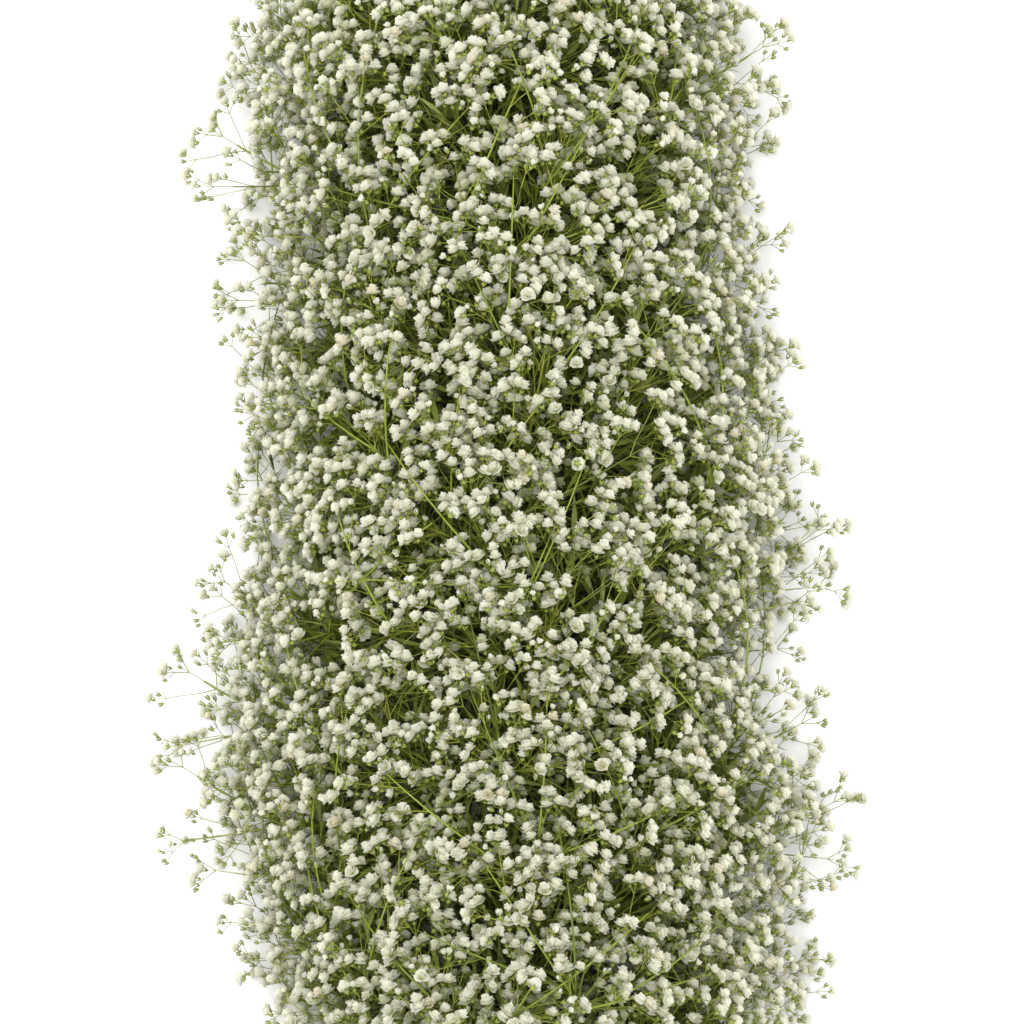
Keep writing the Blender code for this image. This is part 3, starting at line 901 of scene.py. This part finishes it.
def edge_share(point):
    """How far a point lies from the middle line towards the outline's edge."""
    x, y = point.x - ORIGIN_SHIFT[0], point.y - ORIGIN_SHIFT[1]
    return abs(x) / (abs(outline_x(y, 2 if x > 0.0 else 1)) + OUTLINE_ALLOWANCE)


def depth(point):
    """How far out a point lies: 0 on the surface under the cord, 1 on the dome."""
    return math.hypot(edge_share(point), point.z / (SPOT_CEILING + CEILING_ALLOWANCE))


def airiness(point):
    """0 in the dense part, 1 well out beyond it, where twigs and flowers are finer."""
    return min(1.0, max(0.0, (edge_share(point) - AIRY_START) / AIRY_SPAN))


class Spray:
    """The fine growth of one spray: lines of twigs by shape, flowers and leaves."""

    def __init__(self, name):
        self.chance = random.Random("growth " + name)
        self.lines = {}
        self.flowers = []
        self.leaves = []

    def line(self, points, radii, sides, alongs=None):
        """A stem or twig that tapers evenly, thinner towards the edge and darkened deep inside by painted
        shade.
        """
        last = len(points) - 1
        thin = 1.0 - EDGE_THINNING * airiness(points[-1])
        thickness = [(radii[0] + (radii[1] - radii[0]) * step / last) * thin for step in range(last + 1)]
        if alongs is None:
            alongs = [TWIG_ALONG * (1.0 - step / last) for step in range(last + 1)]
        # The tone is random, with its range cut deep inside: a painted shade there
        tone = self.chance.random() * (PAINTED_SHADE_LEAST_TONE + (1.0 - PAINTED_SHADE_LEAST_TONE) * min(1.0, depth(points[0])))
        self.lines.setdefault((len(points), sides), []).append((points, thickness, tone, alongs))

    def bowed(self, start, end, points, bow):
        """Points of a twig that is slightly bowed to any side."""
        span = end - start
        side = Vector([self.chance.gauss(0.0, 1.0) for axis in range(3)])
        side -= side.project(span)
        return arc(start, end, points, side.normalized() * span.length * bow)

    def settle(self, point, room):
        """Keep a point off the surface and near the dome."""
        low = room + self.chance.uniform(0.0, LIFT_SPREAD)
        high = max(dome_height(point.x) + ORIGIN_SHIFT[2], LEAST_CEILING) + CEILING_ROOM
        z = max(point.z, low)
        if z > high:
            z = high + CEILING_GIVE * (z - high)
        return Vector((point.x, point.y, z))

    def shoot(self, node, along, turn, length):
        """A leafy side shoot of a main stem, left out where it would come near the flowers."""
        lean = math.radians(self.chance.uniform(*SHOOT_ANGLE))
        end = node + leaning(along, turned_from(along, turn), lean) * length
        end.z = max(end.z, self.chance.uniform(*SHOOT_FLOOR))
        if depth(end) < SHOOT_CEILING:
            self.leafy(node, end)

    def leafy(self, node, end):
        """A thin stem with a pair of leaves at each node, each pair turned a quarter from the last."""
        line = self.bowed(node, end, 3, self.chance.uniform(0.0, SHOOT_BOW))
        self.line(line, SHOOT_RADIUS, TWIG_SIDES)
        turn = self.chance.uniform(0.0, 180.0)
        for order, share in enumerate(SHOOT_NODES):
            along = (line[2] - line[1] if share > 0.5 else line[1] - line[0]).normalized()
            place = node.lerp(end, share)
            size = self.chance.uniform(*SHOOT_LEAF_SIZE) * (1.0 - SHOOT_LEAF_TAPER * order)
            low = max(0.0, 1.0 - place.z / SHADED_HEIGHT)
            length, width = SHOOT_LEAF_LENGTH * size, SHOOT_LEAF_WIDTH * size * (1.0 + LOW_WIDENING * low)
            self.leaf_pair(place, along, turn + PAIR_TURN * order, length, width, SHOOT_LEAF)

    def overlying(self, node, end):
        """A long stem that arches out over the flowers and forks near its end."""
        middle = node.lerp(end, 0.5)
        bow = Vector((middle.x, 0.0, middle.z)).normalized() * (end - node).length * OVER_LIFT
        line = arc(node, end, OVER_POINTS, bow)
        first, fall = OVER_ALONG
        alongs = [first - fall * step / (OVER_POINTS - 1) for step in range(OVER_POINTS)]
        self.line(line, OVER_RADIUS, OVER_SIDES, alongs)
        self.head(end, (line[-1] - line[-2]).normalized(), FORK_LENGTH * OVER_FORK, 1)
        self.side_twigs(line, OVER_PLACES, OVER_TWIG_CHANCE, OVER_TWIG_SHARE)

    def facing(self, start, end, airy):
        """Where a flower looks: fanned over the garland, with a little of its pedicel's direction."""
        across = (end.x - ORIGIN_SHIFT[0]) / DOME_HALF_WIDTH
        turn = math.radians(FAN_TURN) * max(-1.0, min(1.0, across))
        axis = (end - start).normalized()
        axis.z *= AXIS_CLIMB
        axis += Vector((math.sin(turn), math.cos(turn), 0.0))
        axis.z -= AXIS_SINK[0] + (AXIS_SINK[1] - AXIS_SINK[0]) * airy
        axis += Vector([self.chance.gauss(0.0, AXIS_SPREAD) for number in range(3)])
        return axis.normalized()

    def flower(self, start, heading, length, middle):
        """A pedicel with an open flower, a half-open one or a bud."""
        end = self.settle(start + heading * length, LIFT)
        self.line([start, end], PEDICEL_RADIUS, TWIG_SIDES)
        airy = airiness(end)
        axis = self.facing(start, end, airy)
        draw = self.chance.random() + OPEN_LOSS_AT_EDGE * airy
        whole, half = MIDDLE_CHANCES if middle else SIDE_CHANCES
        kind = "simple" if draw < whole else "half" if draw < half else "bud"
        if kind == "simple" and depth(end) > FULL_DEPTH and draw < FULL_CHANCE - FULL_LOSS_AT_EDGE * airy:
            kind = "full"
        size = self.chance.uniform(*BLOSSOM_SIZE) * (1.0 - EDGE_SHRINKING * airy)
        # Deep flowers get a low tone, an olive painted shade; the rest of the tone is their age
        low, high = PAINTED_SHADE_DEPTHS
        shade = min(1.0, max(0.0, (depth(end) - low) / (high - low)))
        tone = AGE_SHARE * self.chance.random() + (1.0 - AGE_SHARE) * shade
        self.flowers.append((end, axis, kind, size, tone))

    def cyme(self, start, heading, plane, length, level):
        """A twig that forks round a middle flower, level times over."""
        if level == 0:
            self.flower(start, heading, length * self.chance.uniform(*SIDE_PEDICEL), False)
            return
        fork = self.settle(start + heading * length, FORK_LIFT)
        self.line([start, fork], TWIG_RADIUS, TWIG_SIDES)
        heading = (fork - start).normalized()
        tilt = Quaternion(plane, math.radians(self.chance.uniform(-MIDDLE_TILT, MIDDLE_TILT)))
        self.flower(fork, tilt @ heading, length * self.chance.uniform(*MIDDLE_PEDICEL), True)
        for side in (-1.0, 1.0):
            angle = math.radians(side * self.chance.uniform(*FORK_ANGLE))
            turned = Quaternion(plane, angle) @ heading
            twist = Quaternion(turned, math.radians(self.chance.uniform(*FORK_TWIST)))
            next_plane = (twist @ plane).normalized()
            stretch = FORK_RATIO * self.chance.uniform(*FORK_STRETCH)
            self.cyme(fork, turned, next_plane, length * stretch, level - 1)

    def head(self, start, heading, length, level):
        """The forking head at the end of a stem or branch."""
        self.cyme(start, heading, heading.orthogonal().normalized(), length, level)

    def side_twigs(self, line, places, chance_each, length_share):
        """Opposite pairs of short twigs along a branch, each turned a quarter from the last."""
        for order, place in enumerate(places):
            position = place * (len(line) - 1)
            step = min(int(position), len(line) - 2)
            node = line[step].lerp(line[step + 1], position - step)
            along = (line[step + 1] - line[step]).normalized()
            turn = self.chance.uniform(0.0, 90.0) + PAIR_TURN * order
            for side in (0.0, 180.0):
                if self.chance.random() > chance_each:
                    continue
                lean = math.radians(self.chance.uniform(*FORK_ANGLE) + SIDE_TWIG_LEAN)
                heading = leaning(along, turned_from(along, turn + side), lean)
                length = self.chance.uniform(*SIDE_TWIG_LENGTH) * length_share
                end = self.settle(node + heading * length, SIDE_TWIG_LIFT)
                self.line(self.bowed(node, end, 3, SIDE_TWIG_BOW), TWIG_RADIUS, TWIG_SIDES)
                heading = (end - node).normalized()
                plane = heading.cross(along).normalized()
                self.cyme(end, heading, plane, FORK_LENGTH * SIDE_TWIG_FORK, 1)

    def leaf_pair(self, node, along, turn, length, width, shape=STEM_LEAF):
        """Two opposite leaves at a node, turned about the stem."""
        for side in (0.0, 180.0):
            outward = turned_from(along, turn + side)
            stretch = self.chance.uniform(*LEAF_STRETCH)
            # A leaf deep inside gets a low tone, a painted shade, plus a random spread of its own
            tone = min(1.0, LEAF_TONE_AND_SHADE[0] * depth(node) + self.chance.uniform(0.0, LEAF_TONE_AND_SHADE[1]))
            self.leaves.append((node, along, outward, length * stretch, width, tone, shape))


def add_overlying(sprays):
    """Choose long stems near the surface: where each starts and where it ends, by spray."""
    chance = random.Random("overlying")
    joints = []
    for owner, layout in enumerate(sprays):
        layout["over"] = []
        for line, _ in layout["branches"]:
            joints += joints_along(line[:2], owner, BRANCH_JOINTS)
    joints = np.array(joints)
    starts = [Vector(joint[:3]) + Vector(ORIGIN_SHIFT) for joint in joints]
    shallow = np.array([depth(start) for start in starts]) > OVER_START_DEPTH
    for spot in bare_spots(*OVER_SHEET, np.zeros((1, 3)), chance)[0]:
        way, reach, cosine = ways_to(spot, joints)
        good = shallow & (reach > OVER_REACH[0]) & (reach < OVER_REACH[1]) & (cosine > OVER_COSINE)
        good &= way[:, 1] > 0.0
        if good.any():
            choice = int(np.argmax(np.where(good, reach * cosine, 0.0)))
            end = Vector(spot) + Vector(ORIGIN_SHIFT)
            sprays[int(joints[choice, 6])]["over"].append((starts[choice], end))


def smooth_line(points, between):
    """Catmull-Rom points through a line."""
    full = [points[0] * 2 - points[1]] + list(points) + [points[-1] * 2 - points[-2]]
    result = []
    for step in range(1, len(full) - 2):
        a, b, c, d = full[step - 1:step + 3]
        for number in range(between):
            t = number / between
            value = (b * 2 + (c - a) * t + (a * 2 - b * 5 + c * 4 - d) * t * t
                     + (b * 3 - a - c * 3 + d) * t ** 3) * 0.5
            result.append(value)
    result.append(points[-1].copy())
    return result
def grow_main_stem(spray, stem):
    """The main stem, swollen at its nodes, with its head, side twigs, leaves and leafy shoots."""
    tip = stem[-1]
    head = tip + (stem[-4] - tip).normalized() * HEAD_START
    line = smooth_line(stem[:-3] + [head], STEM_SMOOTHING)
    steps = len(line)
    nodes = [stem[1 + step] for step in NODE_STEPS]
    first, last = STEM_LOOK_RADIUS
    radii, alongs = [], []
    for step, point in enumerate(line):
        share = step / (steps - 1)
        near = min((point - node).length for node in nodes)
        swell = 1.0 + NODE_SWELL * math.exp(-(near / NODE_REACH) ** 2)
        radii.append((first + (last - first) * share) * swell)
        alongs.append(1.0 - STEM_ALONG_FALL * share if near > NODE_MARK else NODE_ALONG)
    spray.lines.setdefault((steps, STEM_SIDES), []).append((line, radii, spray.chance.random(), alongs))
    spray.head(head, (tip - head).normalized(), FORK_LENGTH, 2)
    spray.side_twigs(line[steps // 2:], STEM_PLACES, SIDE_TWIG_CHANCE[1], 1.0)
    stretch = sum((b - a).length for a, b in zip(line, line[1:]))
    pairs = int(stretch * LEAFY_SHARE / LEAF_PAIR_GAP)
    for pair in range(pairs):
        share = LEAF_START + (LEAFY_SHARE - LEAF_START) * pair / pairs
        step = min(int(share * (steps - 1)), steps - 2)
        along = (line[step + 1] - line[step]).normalized()
        size = 1.0 - LEAF_TAPER * pair / pairs
        turn = PAIR_TURN * pair + spray.chance.uniform(-LEAF_SCATTER, LEAF_SCATTER)
        spray.leaf_pair(line[step], along, turn, LEAF_LENGTH * size, LEAF_WIDTH * size)
        around = spray.chance.uniform(0.0, 360.0)
        spray.shoot(line[step], along, around, spray.chance.uniform(*SHOOT_LENGTH))


def grow_flowering(spray, node, end):
    """A flowering branch: its head, its side twigs and a pair of bracts."""
    length = (end - node).length
    along = (end - node).normalized()
    head = end - along * min(HEAD_START, 0.5 * length)
    line = spray.bowed(node, head, BRANCH_POINTS, spray.chance.uniform(0.0, BRANCH_BOW))
    spray.line(line, BRANCH_LOOK_RADIUS, BRANCH_SIDES)
    outer = depth(end) > INNER_DEPTH
    spray.head(head, (line[-1] - line[-2]).normalized(), FORK_LENGTH, 2 if outer else 1)
    spray.side_twigs(line, SIDE_PLACES, SIDE_TWIG_CHANCE[outer], min(1.0, length / FULL_TWIG_REACH))
    spray.leaf_pair(line[1], along, spray.chance.uniform(0.0, 90.0), BRACT_LENGTH, BRACT_WIDTH)


def grow(layout):
    """The fine growth on one spray of the layout."""
    shift = Vector(ORIGIN_SHIFT)
    spray = Spray(layout["name"])
    grow_main_stem(spray, [point + shift for point in layout["stem"][0]])
    for number, (branch, _) in enumerate(layout["branches"]):
        node, end = branch[0] + shift, branch[-1] + shift
        if number < layout["flowering"]:
            grow_flowering(spray, node, end)
        else:
            spray.leafy(node, end)
    for node, end in layout["over"]:
        spray.overlying(node, end)
    return spray


def add_flowers(pile, spray):
    """Sepals, petals and buds of a spray, in one mesh with its stems."""
    chance = spray.chance
    rows = {}
    for place, axis, kind, size, tone in spray.flowers:
        number = chance.randrange(len(PROTOTYPES[kind]))
        rows.setdefault((kind, number), []).append((place, axis, chance.uniform(0.0, math.tau), size, tone))
    for (kind, number), row in sorted(rows.items(), key=lambda item: item[0]):
        places, axes, spins, sizes, tones = zip(*row)
        turns = frames(array_of(axes), np.array(spins))
        sepals = CALYX_OPEN if kind in ("full", "simple") else CALYX_SHUT
        for shape, slot in ((sepals, SEPAL), (PROTOTYPES[kind][number], PETAL)):
            scatter(pile, *shape, slot, array_of(places), turns, np.array(sizes), np.array(tones))


def add_leaves(pile, spray):
    """Narrow pointed leaves, folded a little along the middle and bent outward."""
    for node, along, outward, length, width, tone, (stations, faces) in spray.leaves:
        side = along.cross(outward).normalized()
        points, values = [], []
        for share, half, lean in stations:
            centre = node + leaning(along, outward, lean) * length * share
            centre.z = max(centre.z, LEAF_FLOOR)
            for place in (-1.0, 0.0, 1.0) if half else (0.0,):
                fold = outward * abs(place) * half * width * LEAF_FOLD
                points.append(tuple(centre + side * half * width * place + fold))
                values.append(share)
        pile.add(points, faces, LEAF, tone, values)


def placed(name, data):
    """A new object in the scene, at the origin."""
    thing = bpy.data.objects.new(name, data)
    bpy.context.scene.collection.objects.link(thing)
    return thing


def make_spray(layout, materials):
    """One spray as one piece, in place of its solid."""
    spray = grow(layout)
    pile = Pile()
    for (steps, sides), lines in sorted(spray.lines.items(), key=lambda item: item[0]):
        tubes(pile, lines, sides, STEM, sides > TWIG_SIDES)
    add_flowers(pile, spray)
    add_leaves(pile, spray)
    name = layout["name"] + "_grown"
    piece = placed(name, pile.mesh(name, materials))
    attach(piece, "root")
    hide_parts(layout["name"])


def plain_line(points, radii, tone):
    """A line for tubes() whose material doesn't change along it."""
    return [point + Vector(ORIGIN_SHIFT) for point in points], radii, tone, [0.5] * len(points)


def make_cord(material):
    """Three twisted strands, with a few loose fibres at the cut ends."""
    pile = Pile()
    first = tie_y(0) - CORD_TAIL
    last = tie_y(TIE_COUNT - 1) + CORD_TAIL
    swing = CORD_RADIUS - STRAND_RADIUS
    steps = int((last - first) / STRAND_PITCH * STRAND_STEPS)
    lines = []
    for strand in range(STRAND_COUNT):
        points = []
        for step in range(steps + 1):
            y = first + (last - first) * step / steps
            turn = math.tau * ((y - first) / STRAND_PITCH + strand / STRAND_COUNT)
            points.append(around_cord(swing, turn, y))
        lines.append(plain_line(points, [STRAND_RADIUS] * (steps + 1), strand / STRAND_COUNT))
    tubes(pile, lines, ROPE_SIDES, 0, True)
    chance = random.Random("fibres")
    fibres = []
    for end, way in ((first, -1.0), (last, 1.0)):
        for fibre in range(FIBRE_COUNT):
            turn = chance.uniform(0.0, math.tau)
            reach = chance.uniform(*FIBRE_REACH)
            spread = chance.uniform(*FIBRE_SPREAD)
            points = []
            for step in range(len(FIBRE_RADII)):
                share = step / (len(FIBRE_RADII) - 1)
                radius = CORD_RADIUS * spread * (0.5 + 0.5 * share)
                points.append(around_cord(radius, turn + share, end + way * reach * (share - FIBRE_ROOT)))
            fibres.append(plain_line(points, FIBRE_RADII, chance.random()))
    tubes(pile, fibres, TWIG_SIDES, 0, True)
    piece = placed("twisted_cord", pile.mesh("twisted_cord", [material]))
    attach(piece, "root")
    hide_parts("binding_cord")


def make_tie(number, material):
    """Five turns of bast twine round the bundle, ending in two short tails."""
    pile = Pile()
    radius = TIE_INNER_RADIUS + TWINE_RADIUS
    steps = TWINE_TURNS * TWINE_STEPS
    start = random.Random(f"tie {number}").uniform(0.0, math.tau)
    points = []
    for step in range(steps + 1):
        share = step / steps
        y = tie_y(number) + (share - 0.5) * (TIE_WIDTH - 2 * TWINE_RADIUS)
        points.append(around_cord(radius, start + math.tau * TWINE_TURNS * share, y))
    tubes(pile, [plain_line(points, [TWINE_RADIUS] * (steps + 1), 0.5)], ROPE_SIDES, 0, True)
    tails = []
    for way in (-1.0, 1.0):
        tail = []
        for step in range(TAIL_POINTS):
            share = step / (TAIL_POINTS - 1)
            out = radius + TWINE_RADIUS * TAIL_LIFT + TAIL_RISE * share
            y = tie_y(number) + way * TAIL_RUN * share
            tail.append(around_cord(out, start + way * TAIL_TURN * share, y))
        tails.append(plain_line(tail, [TWINE_RADIUS * TAIL_THINNING] * TAIL_POINTS, 0.4))
    tubes(pile, tails, ROPE_SIDES, 0, True)
    name = f"tie_{number + 1:02d}_twine"
    piece = placed(name, pile.mesh(name, [material]))
    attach(piece, "root")
    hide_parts(f"tie_{number + 1:02d}")


class Shader:
    """A material in the making: its nodes, its links and its Principled shader."""

    def __init__(self, name, roughness, specular):
        self.material = bpy.data.materials.new(name)
        self.material.use_nodes = True
        self.nodes = self.material.node_tree.nodes
        self.links = self.material.node_tree.links
        self.principled = self.nodes["Principled BSDF"]
        self.principled.inputs["Roughness"].default_value = roughness
        self.principled.inputs["Specular IOR Level"].default_value = specular

    def attribute(self, name):
        node = self.nodes.new("ShaderNodeAttribute")
        node.attribute_name = name
        return node.outputs["Fac"]

    def noise(self, scale, detail):
        coordinates = self.nodes.new("ShaderNodeTexCoord")
        texture = self.nodes.new("ShaderNodeTexNoise")
        texture.inputs["Scale"].default_value = scale
        texture.inputs["Detail"].default_value = detail
        self.links.new(coordinates.outputs["Object"], texture.inputs["Vector"])
        return texture.outputs["Fac"]

    def ramp(self, value, stops):
        node = self.nodes.new("ShaderNodeValToRGB")
        elements = node.color_ramp.elements
        while len(elements) < len(stops):
            elements.new(0.5)
        for element, (place, colour) in zip(elements, stops):
            element.position = place
            element.color = (*colour, 1.0)
        self.links.new(value, node.inputs["Fac"])
        return node.outputs["Color"]

    def multiplied(self, first, second):
        node = self.nodes.new("ShaderNodeMix")
        node.data_type = "RGBA"
        node.blend_type = "MULTIPLY"
        node.inputs[0].default_value = 1.0
        self.links.new(first, node.inputs[6])
        self.links.new(second, node.inputs[7])
        return node.outputs[2]

    def paint(self, colour):
        self.links.new(colour, self.principled.inputs["Base Color"])

    def paint_growth(self, along, tone, scale, mottle):
        """Colour by the place along a part, times the part's tone, which carries painted shade deep inside
        for most parts, times a fine mottle.
        """
        colour = self.multiplied(
            self.ramp(self.attribute("along"), along), self.ramp(self.attribute("tone"), tone)
        )
        colour = self.multiplied(colour, self.ramp(self.noise(scale, 1.0), mottle))
        self.paint(colour)
        return colour

    def roughen(self, height, strength, distance):
        """Bump from a height."""
        node = self.nodes.new("ShaderNodeBump")
        node.inputs["Strength"].default_value = strength
        node.inputs["Distance"].default_value = distance
        self.links.new(height, node.inputs["Height"])
        self.links.new(node.outputs["Normal"], self.principled.inputs["Normal"])

    def let_light_through(self, colour, share):
        """Mix in light that falls through from behind."""
        through = self.nodes.new("ShaderNodeBsdfTranslucent")
        self.links.new(colour, through.inputs["Color"])
        mix = self.nodes.new("ShaderNodeMixShader")
        mix.inputs["Fac"].default_value = share
        self.links.new(self.principled.outputs["BSDF"], mix.inputs[1])
        self.links.new(through.outputs["BSDF"], mix.inputs[2])
        output = next(node for node in self.nodes if node.type == "OUTPUT_MATERIAL")
        self.links.new(mix.outputs["Shader"], output.inputs["Surface"])


def petal_material():
    """White with a green claw, olive painted shade deep inside the bunch and cream on a few old flowers."""
    shader = Shader("petal", 0.62, 0.25)
    colour = shader.paint_growth(
        along=(
            (0.0, (0.56, 0.62, 0.24)), (0.22, (0.80, 0.82, 0.62)), (0.55, (0.87, 0.87, 0.79)),
            (1.0, (0.88, 0.88, 0.82)),
        ),
        # Low tones are olive painted shade deep inside the bunch; the top end is cream for old flowers
        tone=(
            (0.10, (0.60, 0.64, 0.34)), (0.45, (0.84, 0.86, 0.66)), (0.68, (1.0, 1.0, 0.96)),
            (0.97, (1.0, 1.0, 0.97)), (1.0, (0.96, 0.91, 0.80)),
        ),
        scale=900.0, mottle=((0.35, (0.93, 0.93, 0.91)), (0.65, WHITE)),
    )
    shader.let_light_through(colour, PETAL_CLEARNESS)
    return shader.material


def stem_material():
    """Yellow-green twigs on darker stems, streaked, darkened deep inside by painted shade and a few of them
    reddish.
    """
    shader = Shader("stem", 0.45, 0.4)
    shader.paint_growth(
        along=(
            (0.0, (0.30, 0.33, 0.055)), (0.30, (0.31, 0.36, 0.055)), (0.50, (0.25, 0.32, 0.045)),
            (1.0, (0.22, 0.30, 0.042)),
        ),
        # Low tones give darker greens: partly random variation, mostly painted shade on twigs deep inside
        tone=(
            (0.0, (0.30, 0.32, 0.26)), (0.30, (0.70, 0.74, 0.62)), (0.55, WHITE),
            (0.92, (1.05, 1.0, 0.82)), (1.0, (1.06, 0.88, 0.66)),
        ),
        scale=260.0, mottle=((0.3, (0.82, 0.84, 0.78)), (0.7, (1.06, 1.04, 1.0))),
    )
    return shader.material


def sepal_material():
    """Green cups with dark tips, darker deep inside the bunch by painted shade."""
    shader = Shader("sepal", 0.5, 0.35)
    shader.paint_growth(
        along=(
            (0.0, (0.22, 0.29, 0.050)), (0.40, (0.30, 0.38, 0.085)), (0.60, (0.19, 0.22, 0.050)),
            (0.82, (0.05, 0.05, 0.018)),
        ),
        # Sepals share their flower's tone: low is painted shade deep inside, the top end is old flowers
        tone=((0.0, (0.75, 0.80, 0.70)), (0.7, WHITE), (1.0, (1.08, 0.95, 0.80))),
        scale=1400.0, mottle=((0.3, (0.85, 0.86, 0.82)), (0.7, WHITE)),
    )
    return shader.material


def leaf_material():
    """Dull green leaves with browner tips, darkened deep inside the bunch by painted shade."""
    shader = Shader("leaf", 0.5, 0.4)
    shader.paint_growth(
        along=((0.0, (0.23, 0.27, 0.042)), (0.8, (0.17, 0.21, 0.034)), (1.0, (0.20, 0.18, 0.044))),
        # Low tones are painted shade on leaves deep inside the bunch
        tone=((0.10, (0.16, 0.19, 0.18)), (0.85, WHITE)),
        scale=500.0, mottle=((0.3, (0.80, 0.84, 0.76)), (0.7, (1.05, 1.03, 1.0))),
    )
    return shader.material


def fibre_material(name, dark, light):
    """Twisted fibre of two shades, with a fine bump."""
    shader = Shader(name, 0.85, 0.15)
    shader.paint(shader.ramp(shader.noise(900.0, 6.0), ((0.25, dark), (0.7, light))))
    shader.roughen(shader.noise(2600.0, 4.0), 0.6, 0.0004)
    return shader.material


def make_floor():
    """A pale surface just under the garland."""
    bpy.ops.mesh.primitive_plane_add(size=FLOOR_SIZE, location=(0.0, 0.0, FLOOR_HEIGHT))
    floor = bpy.context.object
    floor.name = "floor"
    shader = Shader("pale_surface", 0.8, 0.1)
    stops = ((0.3, (0.90, 0.90, 0.91)), (0.7, (0.92, 0.92, 0.92)))
    shader.paint(shader.ramp(shader.noise(3.0, 3.0), stops))
    floor.data.materials.append(shader.material)


def make_light():
    """An even white world, a large softbox overhead and a weak one from the right."""
    world = bpy.data.worlds.new("studio")
    world.use_nodes = True
    background = world.node_tree.nodes["Background"]
    background.inputs["Color"].default_value = (*WHITE, 1.0)
    background.inputs["Strength"].default_value = WORLD_STRENGTH
    bpy.context.scene.world = world
    for name, location, size, energy, colour in SOFTBOXES:
        data = bpy.data.lights.new(name, "AREA")
        data.shape = "SQUARE"
        data.size = size
        data.energy = energy
        data.color = colour
        light = placed(name, data)
        light.location = location
        light.rotation_euler = (Vector(LIGHT_AIM) - Vector(location)).to_track_quat("-Z", "Y").to_euler()
    bpy.context.scene.view_settings.view_transform = "Standard"


def make_camera():
    """Straight above, with the photo's up along +Y."""
    data = bpy.data.cameras.new("camera")
    data.lens = LENS
    data.sensor_width = SENSOR
    data.clip_end = FAR_LIMIT
    camera = placed("camera", data)
    camera.location = (ORIGIN_SHIFT[0], ORIGIN_SHIFT[1], FOCUS_HEIGHT + PHOTO_SPAN * LENS / SENSOR)
    bpy.context.scene.camera = camera


def build():
    """The camera, the garland and its studio."""
    make_camera()
    materials = [stem_material(), sepal_material(), petal_material(), leaf_material()]
    sprays, stems, bindings = garland_layout()
    fill_bare_spots(sprays, stems, bindings, FINE_SHEETS)
    add_overlying(sprays)
    for layout in sprays:
        layout["flowering"] = len(layout["branches"])
    # Leafy shoots are thin, so they are kept clear only of the leafy shoots of other sprays
    fill_bare_spots(sprays, Thicket(), Thicket(), LEAFY_SHEETS)
    for layout in sprays:
        make_spray(layout, materials)
    make_cord(fibre_material("jute", *JUTE))
    bast = fibre_material("bast", *BAST)
    for number in range(TIE_COUNT):
        make_tie(number, bast)
    make_floor()
    make_light()


build()
